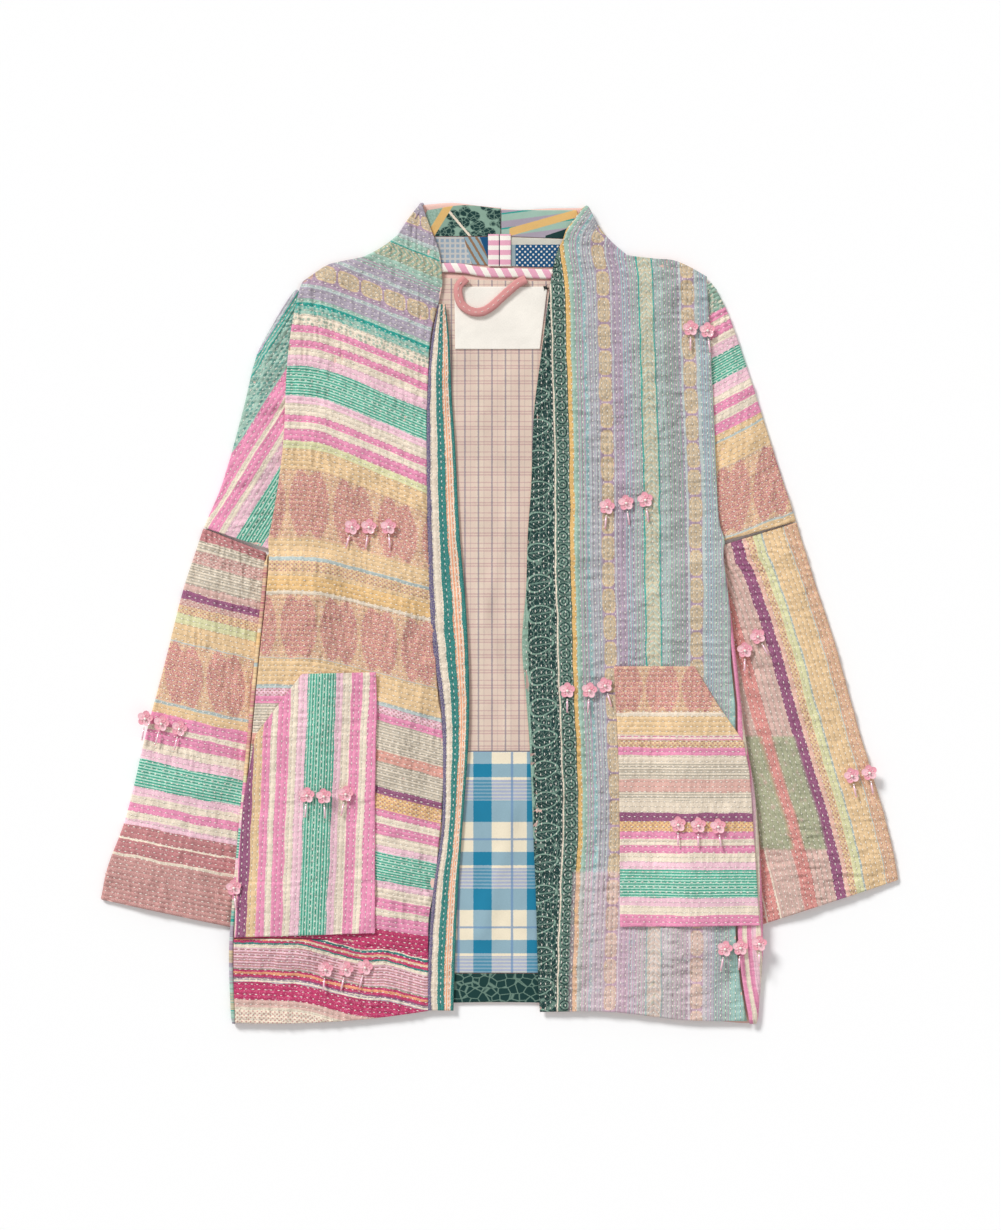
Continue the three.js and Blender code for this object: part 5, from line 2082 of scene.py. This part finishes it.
@dataclass
class Pockets:
    """Patch pockets with a slanted hand opening."""

    RIGHT = (((-124, -319), (-264, -323)), ((-124, -267), (-262, -267)), ((-124, -187), (-255, -187)),
             ((-123, -122), (-243, -122)), ((-122, -95), (-223, -95)), ((-123, -59), (-198, -62)))
    LEFT = (((120, -313), (259, -311)), ((120, -226), (254, -232)), ((119, -160), (249, -160)),
            ((118, -126), (243, -128)), ((116, -90), (218, -92)), ((114, -53), (194, -53)))
    STEADY: float = -196.0

    def _right(self, backing: bpy.types.Material, stitches: StitchWork) -> None:
        """The right pocket, whose stripes run up it and stay upright where its side slants.

        Args:
            backing: The inner finish.
            stitches: Where the stitches are gathered.
        """
        points, _, _ = rib_grid(self.RIGHT, spaced(262, 1.8), spaced(140, 1.25), pocket_height, 0.0)
        points = points[:, ::-1]
        inner, outer = points[:, -1:, 0], points[:, :1, 0]
        share = (inner - points[..., 0]) / (inner - outer)
        whole = inner[0, 0] - outer[0, 0]
        steady = inner - share * whole
        bend = (inner - self.STEADY) / whole
        x = np.where(share < bend, steady,
                     self.STEADY + (share - bend) / (1 - bend) * (outer - self.STEADY))
        points[..., 0] = x
        points[..., 2] = pocket_height(x, points[..., 1])
        across = x + 264.0 - 0.04 * (points[..., 1] + 190)
        cloth = StripedCloth("right pocket stripes", POCKET_RIGHT_CHART, seed=9.0)
        obj = sewn("pocket_right_cloth", Grid(points, points[..., 1] + 400, across), POCKET_CLOTH,
                   Quilting(depth=1.0, pucker=0.85, swell=0.6, seed=71), cloth, backing, stitches,
                   "stitches_pockets", False, coarse=(3, 4))
        enter(obj, Facts(("pocket_right",), "pocket_right_stripes", (141, 263), ("front_right_cloth",),
                         32400))

    def _left(self, backing: bpy.types.Material, stitches: StitchWork) -> None:
        """The left pocket, whose stripes run across it.

        Args:
            backing: The inner finish.
            stitches: Where the stitches are gathered.
        """
        points, _, _ = rib_grid(self.LEFT, spaced(260, 1.25), spaced(138, 1.8), pocket_height, 0.0)
        across = -53.0 - points[..., 1]
        cloth = StripedCloth("left pocket stripes", POCKET_LEFT_CHART, POCKET_LEFT_CHAINS, seed=10.0)
        obj = sewn("pocket_left_cloth", Grid(points, points[..., 0], across), POCKET_CLOTH,
                   Quilting(depth=1.0, pucker=0.85, swell=0.6, seed=72), cloth, backing, stitches,
                   "stitches_pockets", True)
        enter(obj, Facts(("pocket_left",), "pocket_left_stripes", (140, 260), ("front_left_cloth",), 31500))

    def build(self, backing: bpy.types.Material, stitches: StitchWork) -> None:
        """Make both pockets."""
        self._right(backing, stitches)
        self._left(backing, stitches)


@dataclass
class Back:
    """The back, flat on the surface, with its sides turned up to the fronts."""

    rows: int = 120
    side_columns: int = 24
    inside_columns: int = 30
    fold_columns: int = 12
    flat_half: float = 188.0
    fold_from: float = 205.0
    armhole_from: float = 20.0
    crest_right: float = 330.0
    crest_left: float = 336.0

    @staticmethod
    def _side(edge: Array, outward: float, turn: Array, wrap: Array, count: int) -> tuple[Array, Array]:
        """X and rise of one side: flat, then turned up, then wrapped flat on top.

        Args:
            edge: X of the side's outer edge.
            outward: -1 to the right, 1 to the left.
            turn: How far the cloth turns, in radians.
            wrap: Width that lies back on top.
            count: How many columns it takes.

        Returns:
            X and rise of each point.
        """
        flat = 12.0
        tangent = edge - outward * (SIDE_TURN + QUILT / 2) * (turn / math.pi)
        length = flat + SIDE_TURN * turn + wrap
        beyond = length[:, None] * np.linspace(0, 1, count + 1)[None, :] - flat
        angle = np.clip(beyond / SIDE_TURN, 0, turn[:, None])
        rest = np.where(beyond < 0, beyond, np.maximum(0, beyond - SIDE_TURN * turn[:, None]))
        x = tangent[:, None] + outward * (SIDE_TURN * np.sin(angle) + np.cos(angle) * rest)
        return x, SIDE_TURN * (1 - np.cos(angle)) + np.sin(angle) * np.maximum(0, rest)

    def build(self, backing: bpy.types.Material) -> None:
        """Make the back.

        Args:
            backing: The inner finish.
        """
        level = np.linspace(HEM_SIDE, self.crest_right, self.rows)
        share = (level - HEM_SIDE) / (self.crest_right - HEM_SIDE)
        sides = []
        for side, armhole, outward, crest in ((SIDE_RIGHT, ARMHOLE_RIGHT, -1.0, self.crest_right),
                                              (SIDE_LEFT, ARMHOLE_LEFT, 1.0, self.crest_left)):
            y = HEM_SIDE + (crest - HEM_SIDE) * share
            turned = ease(UNDERARM, 46, y)
            inset = edge_x(armhole, np.maximum(y, armhole[0][1])) - outward * BACK_INSET
            edge = inset + (edge_x(side, y) - inset) * turned
            wrap = np.zeros_like(y)
            if outward > 0:
                wrap = np.where(turned > 0.999, np.maximum(0, edge - SIDE_REACH - edge_x(WRAP_LEFT, y)), 0)
            sides.append(self._side(edge, outward, math.pi * turned, wrap, self.side_columns))
        inside = np.linspace(-self.flat_half, self.flat_half, self.inside_columns)
        flat = np.broadcast_to(inside, (self.rows, self.inside_columns))
        x = np.hstack([sides[0][0][:, ::-1], flat, sides[1][0]])
        rise = np.hstack([sides[0][1][:, ::-1], np.zeros_like(flat), sides[1][1]])
        hem = HEM_CENTRE + (HEM_SIDE - HEM_CENTRE) * ease(60, 250, np.abs(x))
        y = hem + (through(BACK_TOP, x) - hem) * share[:, None]
        points = np.dstack([x, y, BACK_MID + lift(x, y) + rise])
        over = np.linalg.norm(np.diff(points, axis=1), axis=2)
        across = np.hstack([np.zeros((self.rows, 1)), np.cumsum(over, axis=1)])
        across = across[:, -1:] - across
        turned = slice(0, self.fold_columns)
        across[:, turned] = front_stripe(x[:, turned], y[:, turned]) + WEAVE_START
        patch = StripedCloth("back patchwork", BACK_CHART, seed=13.0)
        fold = StripedCloth("right side fold", FRONT_RIGHT_CHART, FRONT_RIGHT_CHAINS, seed=1.0, faded=0.05)
        obj = cloth_object("back_panel_cloth", Grid(points, WEAVE_START + y, across), QUILT, 0.0,
                           (backing, patch.material(), fold.material()), (1, 1))
        for face in obj.data.polygons:
            x, y = face.center.x / MM, face.center.y / MM
            if x < -self.fold_from and (face.material_index == 1 or y > self.armhole_from):
                face.material_index = 2
            elif x > self.fold_from and y > self.armhole_from:
                face.material_index = 1
        enter(obj, Facts(("back_panel",), "back_patchwork", (548, 762), (), 385000))


@dataclass
class Linings:
    """What shows inside: the back's lining, hem facing and the collar's facings."""

    wrinkles: float = 1.6

    WRINKLES = (((-30, 60), (15, -120), 1.3, 7), ((-20, -20), (10, 100), 1.0, 6),
                ((20, -180), (-20, -330), 1.2, 8), ((-25, 200), (12, 120), 1.0, 7))

    PIECES = (
        ("back_lining_upper", "lining_check", Tartan.CHECK,
         (((-98, -137.6), (78, -138)), ((-98, 60), (78, 60)), ((-92, 250), (80, 250)),
          ((-78, 336.5), (78, 332), (2, -2))), 474, 176, (0, 60), 2.6),
        ("back_lining_lower", "lining_plaid", Tartan.PLAID,
         (((-96, -359.4), (78, -359.6)), ((-98, -138.2), (78, -138.6))), 221, 176, (0, 100), 2.6),
        ("back_hem_facing", "hem_facing_green", Tartan.FACING,
         (((-120, -393), (110, -392.5), (0, 4)), ((-120, -360), (110, -360.2))), 33, 230, (0, 0), 3.0),
        ("collar_facing_right", "collar_facing_right_print", Tartan.LEAFY,
         (((-86, 376.6), (-72, 402.5)), ((-40, 376.4), (-36, 407.5)), ((1.1, 376.4), (1.1, 404))),
         82, 28, (0, 376), 1.2),
        ("collar_facing_left", "collar_facing_left_print", Tartan.LEAFY,
         (((1.9, 376.4), (1.9, 402.8)), ((40, 375), (38, 402.5)), ((88, 373), (77, 402.5))),
         82, 28, (0, 376), 1.2),
        ("collar_lining_right", "collar_lining_right_print", Tartan.DENIM,
         (((-98, 353.5), (-90, 376)), ((-56, 350), (-52, 375.8)), ((1.1, 346.6), (1.1, 375.8))),
         98, 26, (0, 346), 1.2),
        ("collar_lining_left", "collar_lining_left_print", Tartan.DOTTED,
         (((1.9, 346.6), (1.9, 375.8)), ((52, 345.4), (50, 374.2)), ((94, 348), (88, 372.4))),
         92, 27, (0, 346), 1.2),
    )

    def _relief(self, x: Array, y: Array) -> Array:
        """Soft wrinkles between the fronts.

        Args:
            x: Places across the jacket.
            y: Places up the jacket.

        Returns:
            Heights.
        """
        open_right = ease(2, 26, x - edge_x(FREE_EDGE_RIGHT, y) - 26)
        open_left = ease(2, 26, edge_x(FREE_EDGE_LEFT, y) - x)
        free = open_right * open_left * ease(-355, -330, y) * ease(262, 235, y)
        folds = sum(ridge(x, y, *wrinkle) for wrinkle in self.WRINKLES)
        swell = 0.5 * soft_noise(x, y, 26, 91) + 0.3 * soft_noise(x, y, 11, 92)
        return free * (folds + self.wrinkles * 0.4 * (0.5 + swell)) + 0.12 * soft_noise(x, y, 5, 93)

    def build(self, backing: bpy.types.Material) -> None:
        """Make every lining piece."""
        for node, slot, kind, ribs, length, width, origin, step in self.PIECES:
            collar = node.startswith("collar")
            points, _, _ = rib_grid(ribs, spaced(length, step), spaced(width, step), LINING_MID)
            if points[0, 0, 0] > points[0, -1, 0] or collar:
                points = points[:, ::-1]
            x, y = points[..., 0], points[..., 1]
            relief = 0.15 * soft_noise(x, y, 4, 94) if collar else self._relief(x, y)
            grid = Grid(points, x - origin[0], y - origin[1])
            if grid.normals()[..., 2].mean() < 0:
                grid = grid.mirrored()
                relief = relief[:, ::-1]
            cloth = LiningCloth(f"{node.replace('_', ' ')} cloth", kind).material()
            obj = cloth_object(f"{node}_cloth", grid, LINING, relief, (cloth, backing), (3, 3))
            enter(obj, Facts((node,), slot, (width, length), ("back_panel_cloth",)))


@dataclass
class Trimmings:
    """Neck binding, seam tapes, hang loop and the blank label."""

    BINDING_PATH = ((-73, 345.0), (-40, 344.5), (-13.5, 340.4), (18, 339.6), (50, 338.6), (71, 339.5))
    LOOP = ((-33.5, 334), (-41, 325), (-38.5, 309), (-26.5, 300.5), (-12, 303), (6.5, 319), (18.5, 329),
            (26.5, 333))
    LABEL = (((-44.5, 263.5), (40.5, 263.5)), ((-45, 326), (48, 326)))

    def _binding(self, backing: bpy.types.Material) -> None:
        """The striped binding round the neck seam, folded over and plump.

        Args:
            backing: The inner finish.
        """
        node = "neck_binding"
        low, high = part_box(node)
        low, high = np.array(low) / MM, np.array(high) / MM
        columns = np.linspace(0, 1, 11)
        rows = spaced(high[0] - low[0], 1.6)
        path = smooth_path(self.BINDING_PATH, rows)
        x = np.interp(rows, [0, 1], [low[0] + 0.3, high[0] - 0.3])[:, None] + 0 * columns
        y = np.interp(x[:, 0], path[:, 0], path[:, 1])[:, None] + (columns[None, :] - 0.5) * -9.4
        mid = (low[2] + high[2]) / 2
        grid = Grid(np.dstack([x, y, np.full(x.shape, mid)]), x, y - 340)
        if grid.normals()[..., 2].mean() < 0:
            grid = grid.mirrored()
        crown = 0.5 * np.sin(np.pi * columns)[None, :] + 0.12 * soft_noise(grid.along, grid.across, 3.0, 96)
        obj = cloth_object("neck_binding_cloth", grid, 2.2, crown,
                           (LiningCloth("binding cloth", Tartan.BINDING).material(),
                                                                    backing), (2, 2))
        enter(obj, Facts((node,), "neck_binding", (11, 146), ("back_panel_cloth",)))

    def _tapes(self, backing: bpy.types.Material) -> None:
        """The two striped tapes over the collar's centre seam."""
        material = LiningCloth("seam tape cloth", Tartan.TAPE).material()
        for node, start, end in (("collar_seam_tape_right", -11.4, -0.4),
                                 ("collar_seam_tape_left", 0.4, 11.4)):
            ribs = (((start, 346.2), (end, 346.2)), ((start, 378.4), (end, 378.4)))
            points, c, _ = rib_grid(ribs, spaced(32, 1.4), spaced(11, 1.2), ON_LINING + 0.6)
            grid = Grid(points, points[..., 0], points[..., 1])
            crown = 0.35 * np.sin(np.pi * c)
            obj = cloth_object(f"{node}_cloth", grid, 1.2, crown, (material, backing), (2, 2))
            enter(obj, Facts((node,), "seam_tape", (11, 32), ("collar_lining_right_cloth",)))

    def _label(self, backing: bpy.types.Material, thread: bpy.types.Material) -> None:
        """The blank woven label with a black tack at its top corner.

        Args:
            backing: The inner finish.
            thread: Finish of the black thread.
        """
        points, c, _ = rib_grid(self.LABEL, spaced(62, 1.8), spaced(88, 1.8), ON_LINING + 0.5)
        x, y = points[..., 0], points[..., 1]
        relief = 0.35 * soft_noise(x, y, 24, 97) * ease(0, 0.1, c) * ease(1, 0.9, c)
        relief = relief + 0.1 * soft_noise(x, y, 4, 98)
        cloth = Plain("label satin", Dye.WHITE, 0.55).material()
        obj = cloth_object("label_cloth", Grid(points, x, y), 1.0, relief, (cloth, backing), (2, 2))
        enter(obj, Facts(("label",), "label", (88, 62.5), ("back_lining_upper_cloth",)))
        verts, faces = [], []
        rng = np.random.default_rng(5)
        for i in range(9):
            turn = rng.uniform(0, math.pi)
            centre = np.array([46.2, 325.0, ON_LINING + 1.25]) + rng.uniform(-1, 1, 3) * (1.1, 1.1, 0.2)
            run = np.array([math.cos(turn), math.sin(turn), rng.uniform(-0.1, 0.2)]) * rng.uniform(1.6, 2.8)
            self._thread(verts, faces, [centre - run, centre + (0, 0, 0.4), centre + run], 0.28)
        tack = new_object("label_tack", np.array(verts), faces, [thread])
        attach(tack, "root")

    @staticmethod
    def _thread(verts: list, faces: list, path: Sequence[Array], radius: float, sides: int = 6) -> None:
        """Add a closed thread along a path.

        Args:
            verts: Points, added to.
            faces: Faces, added to.
            path: Points along the thread.
            radius: Its radius.
            sides: Points in a ring.
        """
        base = len(verts)
        p = np.array(path, float)
        for i, point in enumerate(p):
            run = p[min(i + 1, len(p) - 1)] - p[max(i - 1, 0)]
            run = run / np.linalg.norm(run)
            side = np.cross(run, (0, 0, 1.0))
            side = side / max(np.linalg.norm(side), 1e-6)
            up = np.cross(side, run)
            for k in range(sides):
                angle = 2 * math.pi * k / sides
                verts.append(point + radius * (side * math.cos(angle) + up * math.sin(angle)))
        faces.extend(tube_faces(base, len(p), sides, True))

    def _loop(self, stitches: bpy.types.Material) -> None:
        """The soft hang loop, rolled from a strip of dusty pink cloth.

        Args:
            stitches: Finish of the seam's thread.
        """
        level = ON_LINING + LINING + GAP + 2.4
        count, sides = 90, 20
        route = smooth_path(self.LOOP, np.linspace(0, 1, count))
        tangent = np.gradient(route, axis=0)
        tangent /= np.linalg.norm(tangent, axis=1, keepdims=True)
        angle = np.linspace(0, 2 * math.pi, sides, endpoint=False)
        reach = np.concatenate([[0], np.cumsum(np.linalg.norm(np.diff(route, axis=0), axis=1))])
        bumps = 0.18 * soft_noise(reach[:, None], angle[None, :] * 3, 3.0, 99)
        groove = 0.75 * np.exp(-((angle[None, :] - 1.2) / 0.25) ** 2)
        wide = (4.4 + bumps - groove * 0.3) * np.cos(angle)[None, :]
        tall = (2.25 + bumps - groove) * np.sin(angle)[None, :]
        verts = np.dstack([route[:, None, 0] - tangent[:, None, 1] * wide,
                           route[:, None, 1] + tangent[:, None, 0] * wide,
                           level + tall]).reshape(-1, 3)
        loop = new_object("hang_loop_cloth", verts, tube_faces(0, count, sides),
                          [Plain("loop cloth", Dye.BRICK, lighter=1.35).material()])
        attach(loop, "root")
        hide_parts("hang_loop")
        verts, faces = [], []
        for s in np.arange(6, reach[-1] - 6, 6.5):
            ends = [np.array([np.interp(t, reach, route[:, 0]), np.interp(t, reach, route[:, 1]),
                              level + 2.15])
                    for t in (s, s + 1.3, s + 2.6)]
            ends[1][2] += 0.3
            self._thread(verts, faces, ends, 0.26)
        seam = new_object("hang_loop_stitches", np.array(verts), faces, [stitches])
        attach(seam, "root")

    def build(self, backing: bpy.types.Material, thread: bpy.types.Material,
              white: bpy.types.Material) -> None:
        """Make every trimming.

        Args:
            backing: The inner finish.
            thread: Finish of the black thread.
            white: Finish of the white thread.
        """
        self._binding(backing)
        self._tapes(backing)
        self._label(backing, thread)
        self._loop(white)


@dataclass
class Flowers:
    """Beaded flowers: five petals of sequins and beads, a pearl, and a bugle bead below."""

    petal_reach: float = 4.1
    petal_size: float = 1.36
    materials: dict[str, bpy.types.Material] = field(default_factory=dict)

    @staticmethod
    def _lathe(verts: list, faces: list, mats: list, profile: Sequence[Point],
               place: Callable[[Array], Array],
               sides: int, material: int) -> None:
        """Add a round body from a profile of (radius, height).

        Args:
            verts: Points, added to.
            faces: Faces, added to.
            mats: Material numbers, added to.
            profile: Radius and height of each ring.
            place: Moves a ring on to the flower.
            sides: Points in a ring.
            material: Material number.
        """
        base = len(verts)
        angle = np.linspace(0, 2 * math.pi, sides, endpoint=False)
        for radius, height in profile:
            ring = np.column_stack([radius * np.cos(angle), radius * np.sin(angle), np.full(sides, height)])
            verts.extend(place(ring))
        added = tube_faces(base, len(profile), sides)
        faces.extend(added)
        mats.extend([material] * len(added))

    @staticmethod
    def _ball(radius: float, bands: int = 6) -> list[Point]:
        """Profile of a ball that sits on the surface."""
        tilt = np.linspace(-math.pi / 2 + 0.28, math.pi / 2 - 0.28, bands)
        return [(radius * math.cos(t), radius * (1 + math.sin(t))) for t in tilt]

    def _flower(self, node: str) -> None:
        """Make one flower in the place of its plain solid.

        Args:
            node: Name of its plain solid.
        """
        points = np.array([v.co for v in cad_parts[node].data.vertices]) / MM
        rest = points[:, 2].min()
        rng = np.random.default_rng(hash_name(node))
        centre_guess = points[:, :2].mean(axis=0)
        far = points[np.argmax(np.linalg.norm(points[:, :2] - centre_guess, axis=1)), :2]
        tip = points[np.linalg.norm(points[:, :2] - far, axis=1) < 3.5, :2].mean(axis=0)
        others = points[np.linalg.norm(points[:, :2] - tip, axis=1) > 12.0, :2]
        centre = (others.min(axis=0) + others.max(axis=0)) / 2
        aim = tip - centre
        aim = aim / np.linalg.norm(aim)
        heading = math.atan2(aim[1], aim[0])
        verts: list = []
        faces: list = []
        mats: list = []

        def at(offset: Sequence[float], tilt: float = 0.0, turn: float = 0.0,
               squash: float = 1.0) -> Callable[[Array], Array]:
            """A mover that tilts, turns and shifts a body onto the flower."""
            def move(ring: Array) -> Array:
                """Move one ring.

                Args:
                    ring: The ring's points.

                Returns:
                    The moved points.
                """
                r = ring * (1.0, squash, 1.0)
                r = np.column_stack([r[:, 0] * math.cos(tilt) + r[:, 2] * math.sin(tilt), r[:, 1],
                                     -r[:, 0] * math.sin(tilt) + r[:, 2] * math.cos(tilt)])
                r = np.column_stack([r[:, 0] * math.cos(turn) - r[:, 1] * math.sin(turn),
                                     r[:, 0] * math.sin(turn) + r[:, 1] * math.cos(turn), r[:, 2]])
                return r + np.array([centre[0] + offset[0], centre[1] + offset[1], rest + offset[2]])
            return move

        cup = [(0.35, 0.15), (1.6, 0.05), (2.5, 0.28), (2.9, 0.75), (2.82, 0.9), (2.4, 0.55), (1.5, 0.35),
               (0.35, 0.42)]
        cup = [(radius * self.petal_size, height) for radius, height in cup]
        first = heading + math.pi + rng.uniform(-0.1, 0.1)
        for petal in range(5):
            turn = first + petal * 2 * math.pi / 5
            side, rise = self.petal_reach * math.cos(turn), self.petal_reach * math.sin(turn)
            petal_at = at((side, rise, 0.25 + 0.3 * (petal % 2)), rng.uniform(-0.14, 0.02), turn, 0.92)
            self._lathe(verts, faces, mats, cup, petal_at, 14, petal % 2)
            self._lathe(verts, faces, mats, self._ball(0.55, 4), at((side, rise, 0.75)), 8, 2)
        for bead in range(5):
            turn = first + (bead + 0.5) * 2 * math.pi / 5
            offset = (1.9 * math.cos(turn), 1.9 * math.sin(turn), 1.0)
            self._lathe(verts, faces, mats, self._ball(0.5, 4), at(offset), 6, 0)
        self._lathe(verts, faces, mats, self._ball(1.45, 6), at((0.5 * aim[0], 0.5 * aim[1], 0.9)), 14, 2)
        across = np.array([-aim[1], aim[0]])
        for start, end, radius, material in ((8.6, 9.9, 0.75, 2), (10.2, 20.6, 0.95, 3),
                                             (20.9, 22.2, 0.75, 0)):
            base = len(verts)
            sides = 10
            for reach, size in ((start, 0.55), (start + 0.15, 1.0), (end - 0.15, 1.0), (end, 0.55)):
                for k in range(sides):
                    angle = 2 * math.pi * k / sides
                    flat = centre + aim * reach + across * radius * size * math.cos(angle)
                    verts.append([flat[0], flat[1], rest + 1.0 + radius * size * math.sin(angle)])
            added = tube_faces(base, 4, sides, True)
            faces.extend(added)
            mats.extend([material] * len(added))
        obj = new_object(f"{node}_beads", np.array(verts), faces, list(self.materials.values()),
                         np.array(mats))
        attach(obj, "root")
        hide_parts(node)

    def build(self) -> None:
        """Make every flower."""
        self.materials = {
            "pink": Plain("pink sequin", Dye.PEARLPINK, 0.3, weave=False, coat=0.7).material(),
            "blush": Plain("blush sequin", Dye.SHELL, 0.3, weave=False, coat=0.7).material(),
            "pearl": Plain("pearl bead", Dye.WHITE, 0.22, weave=False, coat=0.7).material(),
            "bugle": Plain("glass bugle", Dye.BLUSH, 0.15, weave=False, coat=0.8, metallic=0.2,
                           lighter=1.2).material(),
        }
        for node in sorted(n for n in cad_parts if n.startswith("flower_")):
            self._flower(node)
        LOG.info("flowers: %d", sum(n.startswith("flower_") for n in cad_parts))


def hash_name(name: str) -> int:
    """A steady number for a name.

    Args:
        name: The name.

    Returns:
        The number.
    """
    value = 7
    for letter in name:
        value = (value * 131 + ord(letter)) % 1000003
    return value


# ---------------------------------------------------------------------------
# Stage
# ---------------------------------------------------------------------------


@dataclass
class Stage:
    """Pale floor, soft studio light and a camera straight above."""

    lens: float = 100.0
    distance: float = 3.417
    centre: Point = (0.001, -0.002)
    floor_half: float = 3.0
    floor_tone: float = 0.95
    floor_drop: float = 0.0002
    sky: float = 0.49
    suns: tuple[tuple[str, float, float, float, float], ...] = (
        ("key", 128, 36, 2.55, 16), ("fill", -40, 60, 0.3, 60))

    def build(self) -> None:
        """Make the stage."""
        scene = bpy.context.scene
        scene.view_settings.view_transform = "Standard"
        world = bpy.data.worlds.new("studio")
        scene.world = world
        world.use_nodes = True
        background = world.node_tree.nodes["Background"]
        background.inputs["Color"].default_value = (1.0, 1.0, 1.0, 1.0)
        background.inputs["Strength"].default_value = self.sky
        corners = [(x * self.floor_half, y * self.floor_half, -self.floor_drop)
                   for x, y in ((-1, -1), (1, -1), (1, 1), (-1, 1))]
        floor = new_object("floor", np.array(corners) / MM, [[0, 1, 2, 3]],
                           [Graph("floor").finish((self.floor_tone,) * 3, 0.9)])
        for name, heading, height, strength, softness in self.suns:
            data = bpy.data.lights.new(name, "SUN")
            data.energy = strength
            data.angle = math.radians(softness)
            lamp = bpy.data.objects.new(name, data)
            lamp.rotation_euler = (math.radians(90 - height), 0, math.radians(heading + 90))
            scene.collection.objects.link(lamp)
        camera = bpy.data.objects.new("camera", bpy.data.cameras.new("camera"))
        camera.data.lens = self.lens
        camera.data.sensor_width = 36.0
        camera.data.sensor_fit = "AUTO"
        camera.location = (*self.centre, self.distance)
        scene.collection.objects.link(camera)
        scene.camera = camera


def main() -> None:
    """Build the jacket's looks in order."""
    logging.basicConfig(level=logging.INFO, format="%(message)s")
    Stage().build()
    backing = Plain("inner cotton", Dye.DUSTY, lighter=1.2).material()
    white = Plain("white thread", Dye.WHITE, 0.8, weave=False).material()
    black = Plain("black thread", Dye.FOREST, 0.7, weave=False, lighter=0.3).material()
    stitches = StitchWork()
    Back().build(backing)
    Sleeves().build(backing, stitches)
    RightFront().build(backing, stitches)
    LeftFront().build(backing, stitches)
    Bands().build(backing, stitches)
    Pockets().build(backing, stitches)
    Linings().build(backing)
    Trimmings().build(backing, black, white)
    Flowers().build()
    stitches.build(white)


if __name__ == "__main__":
    main()
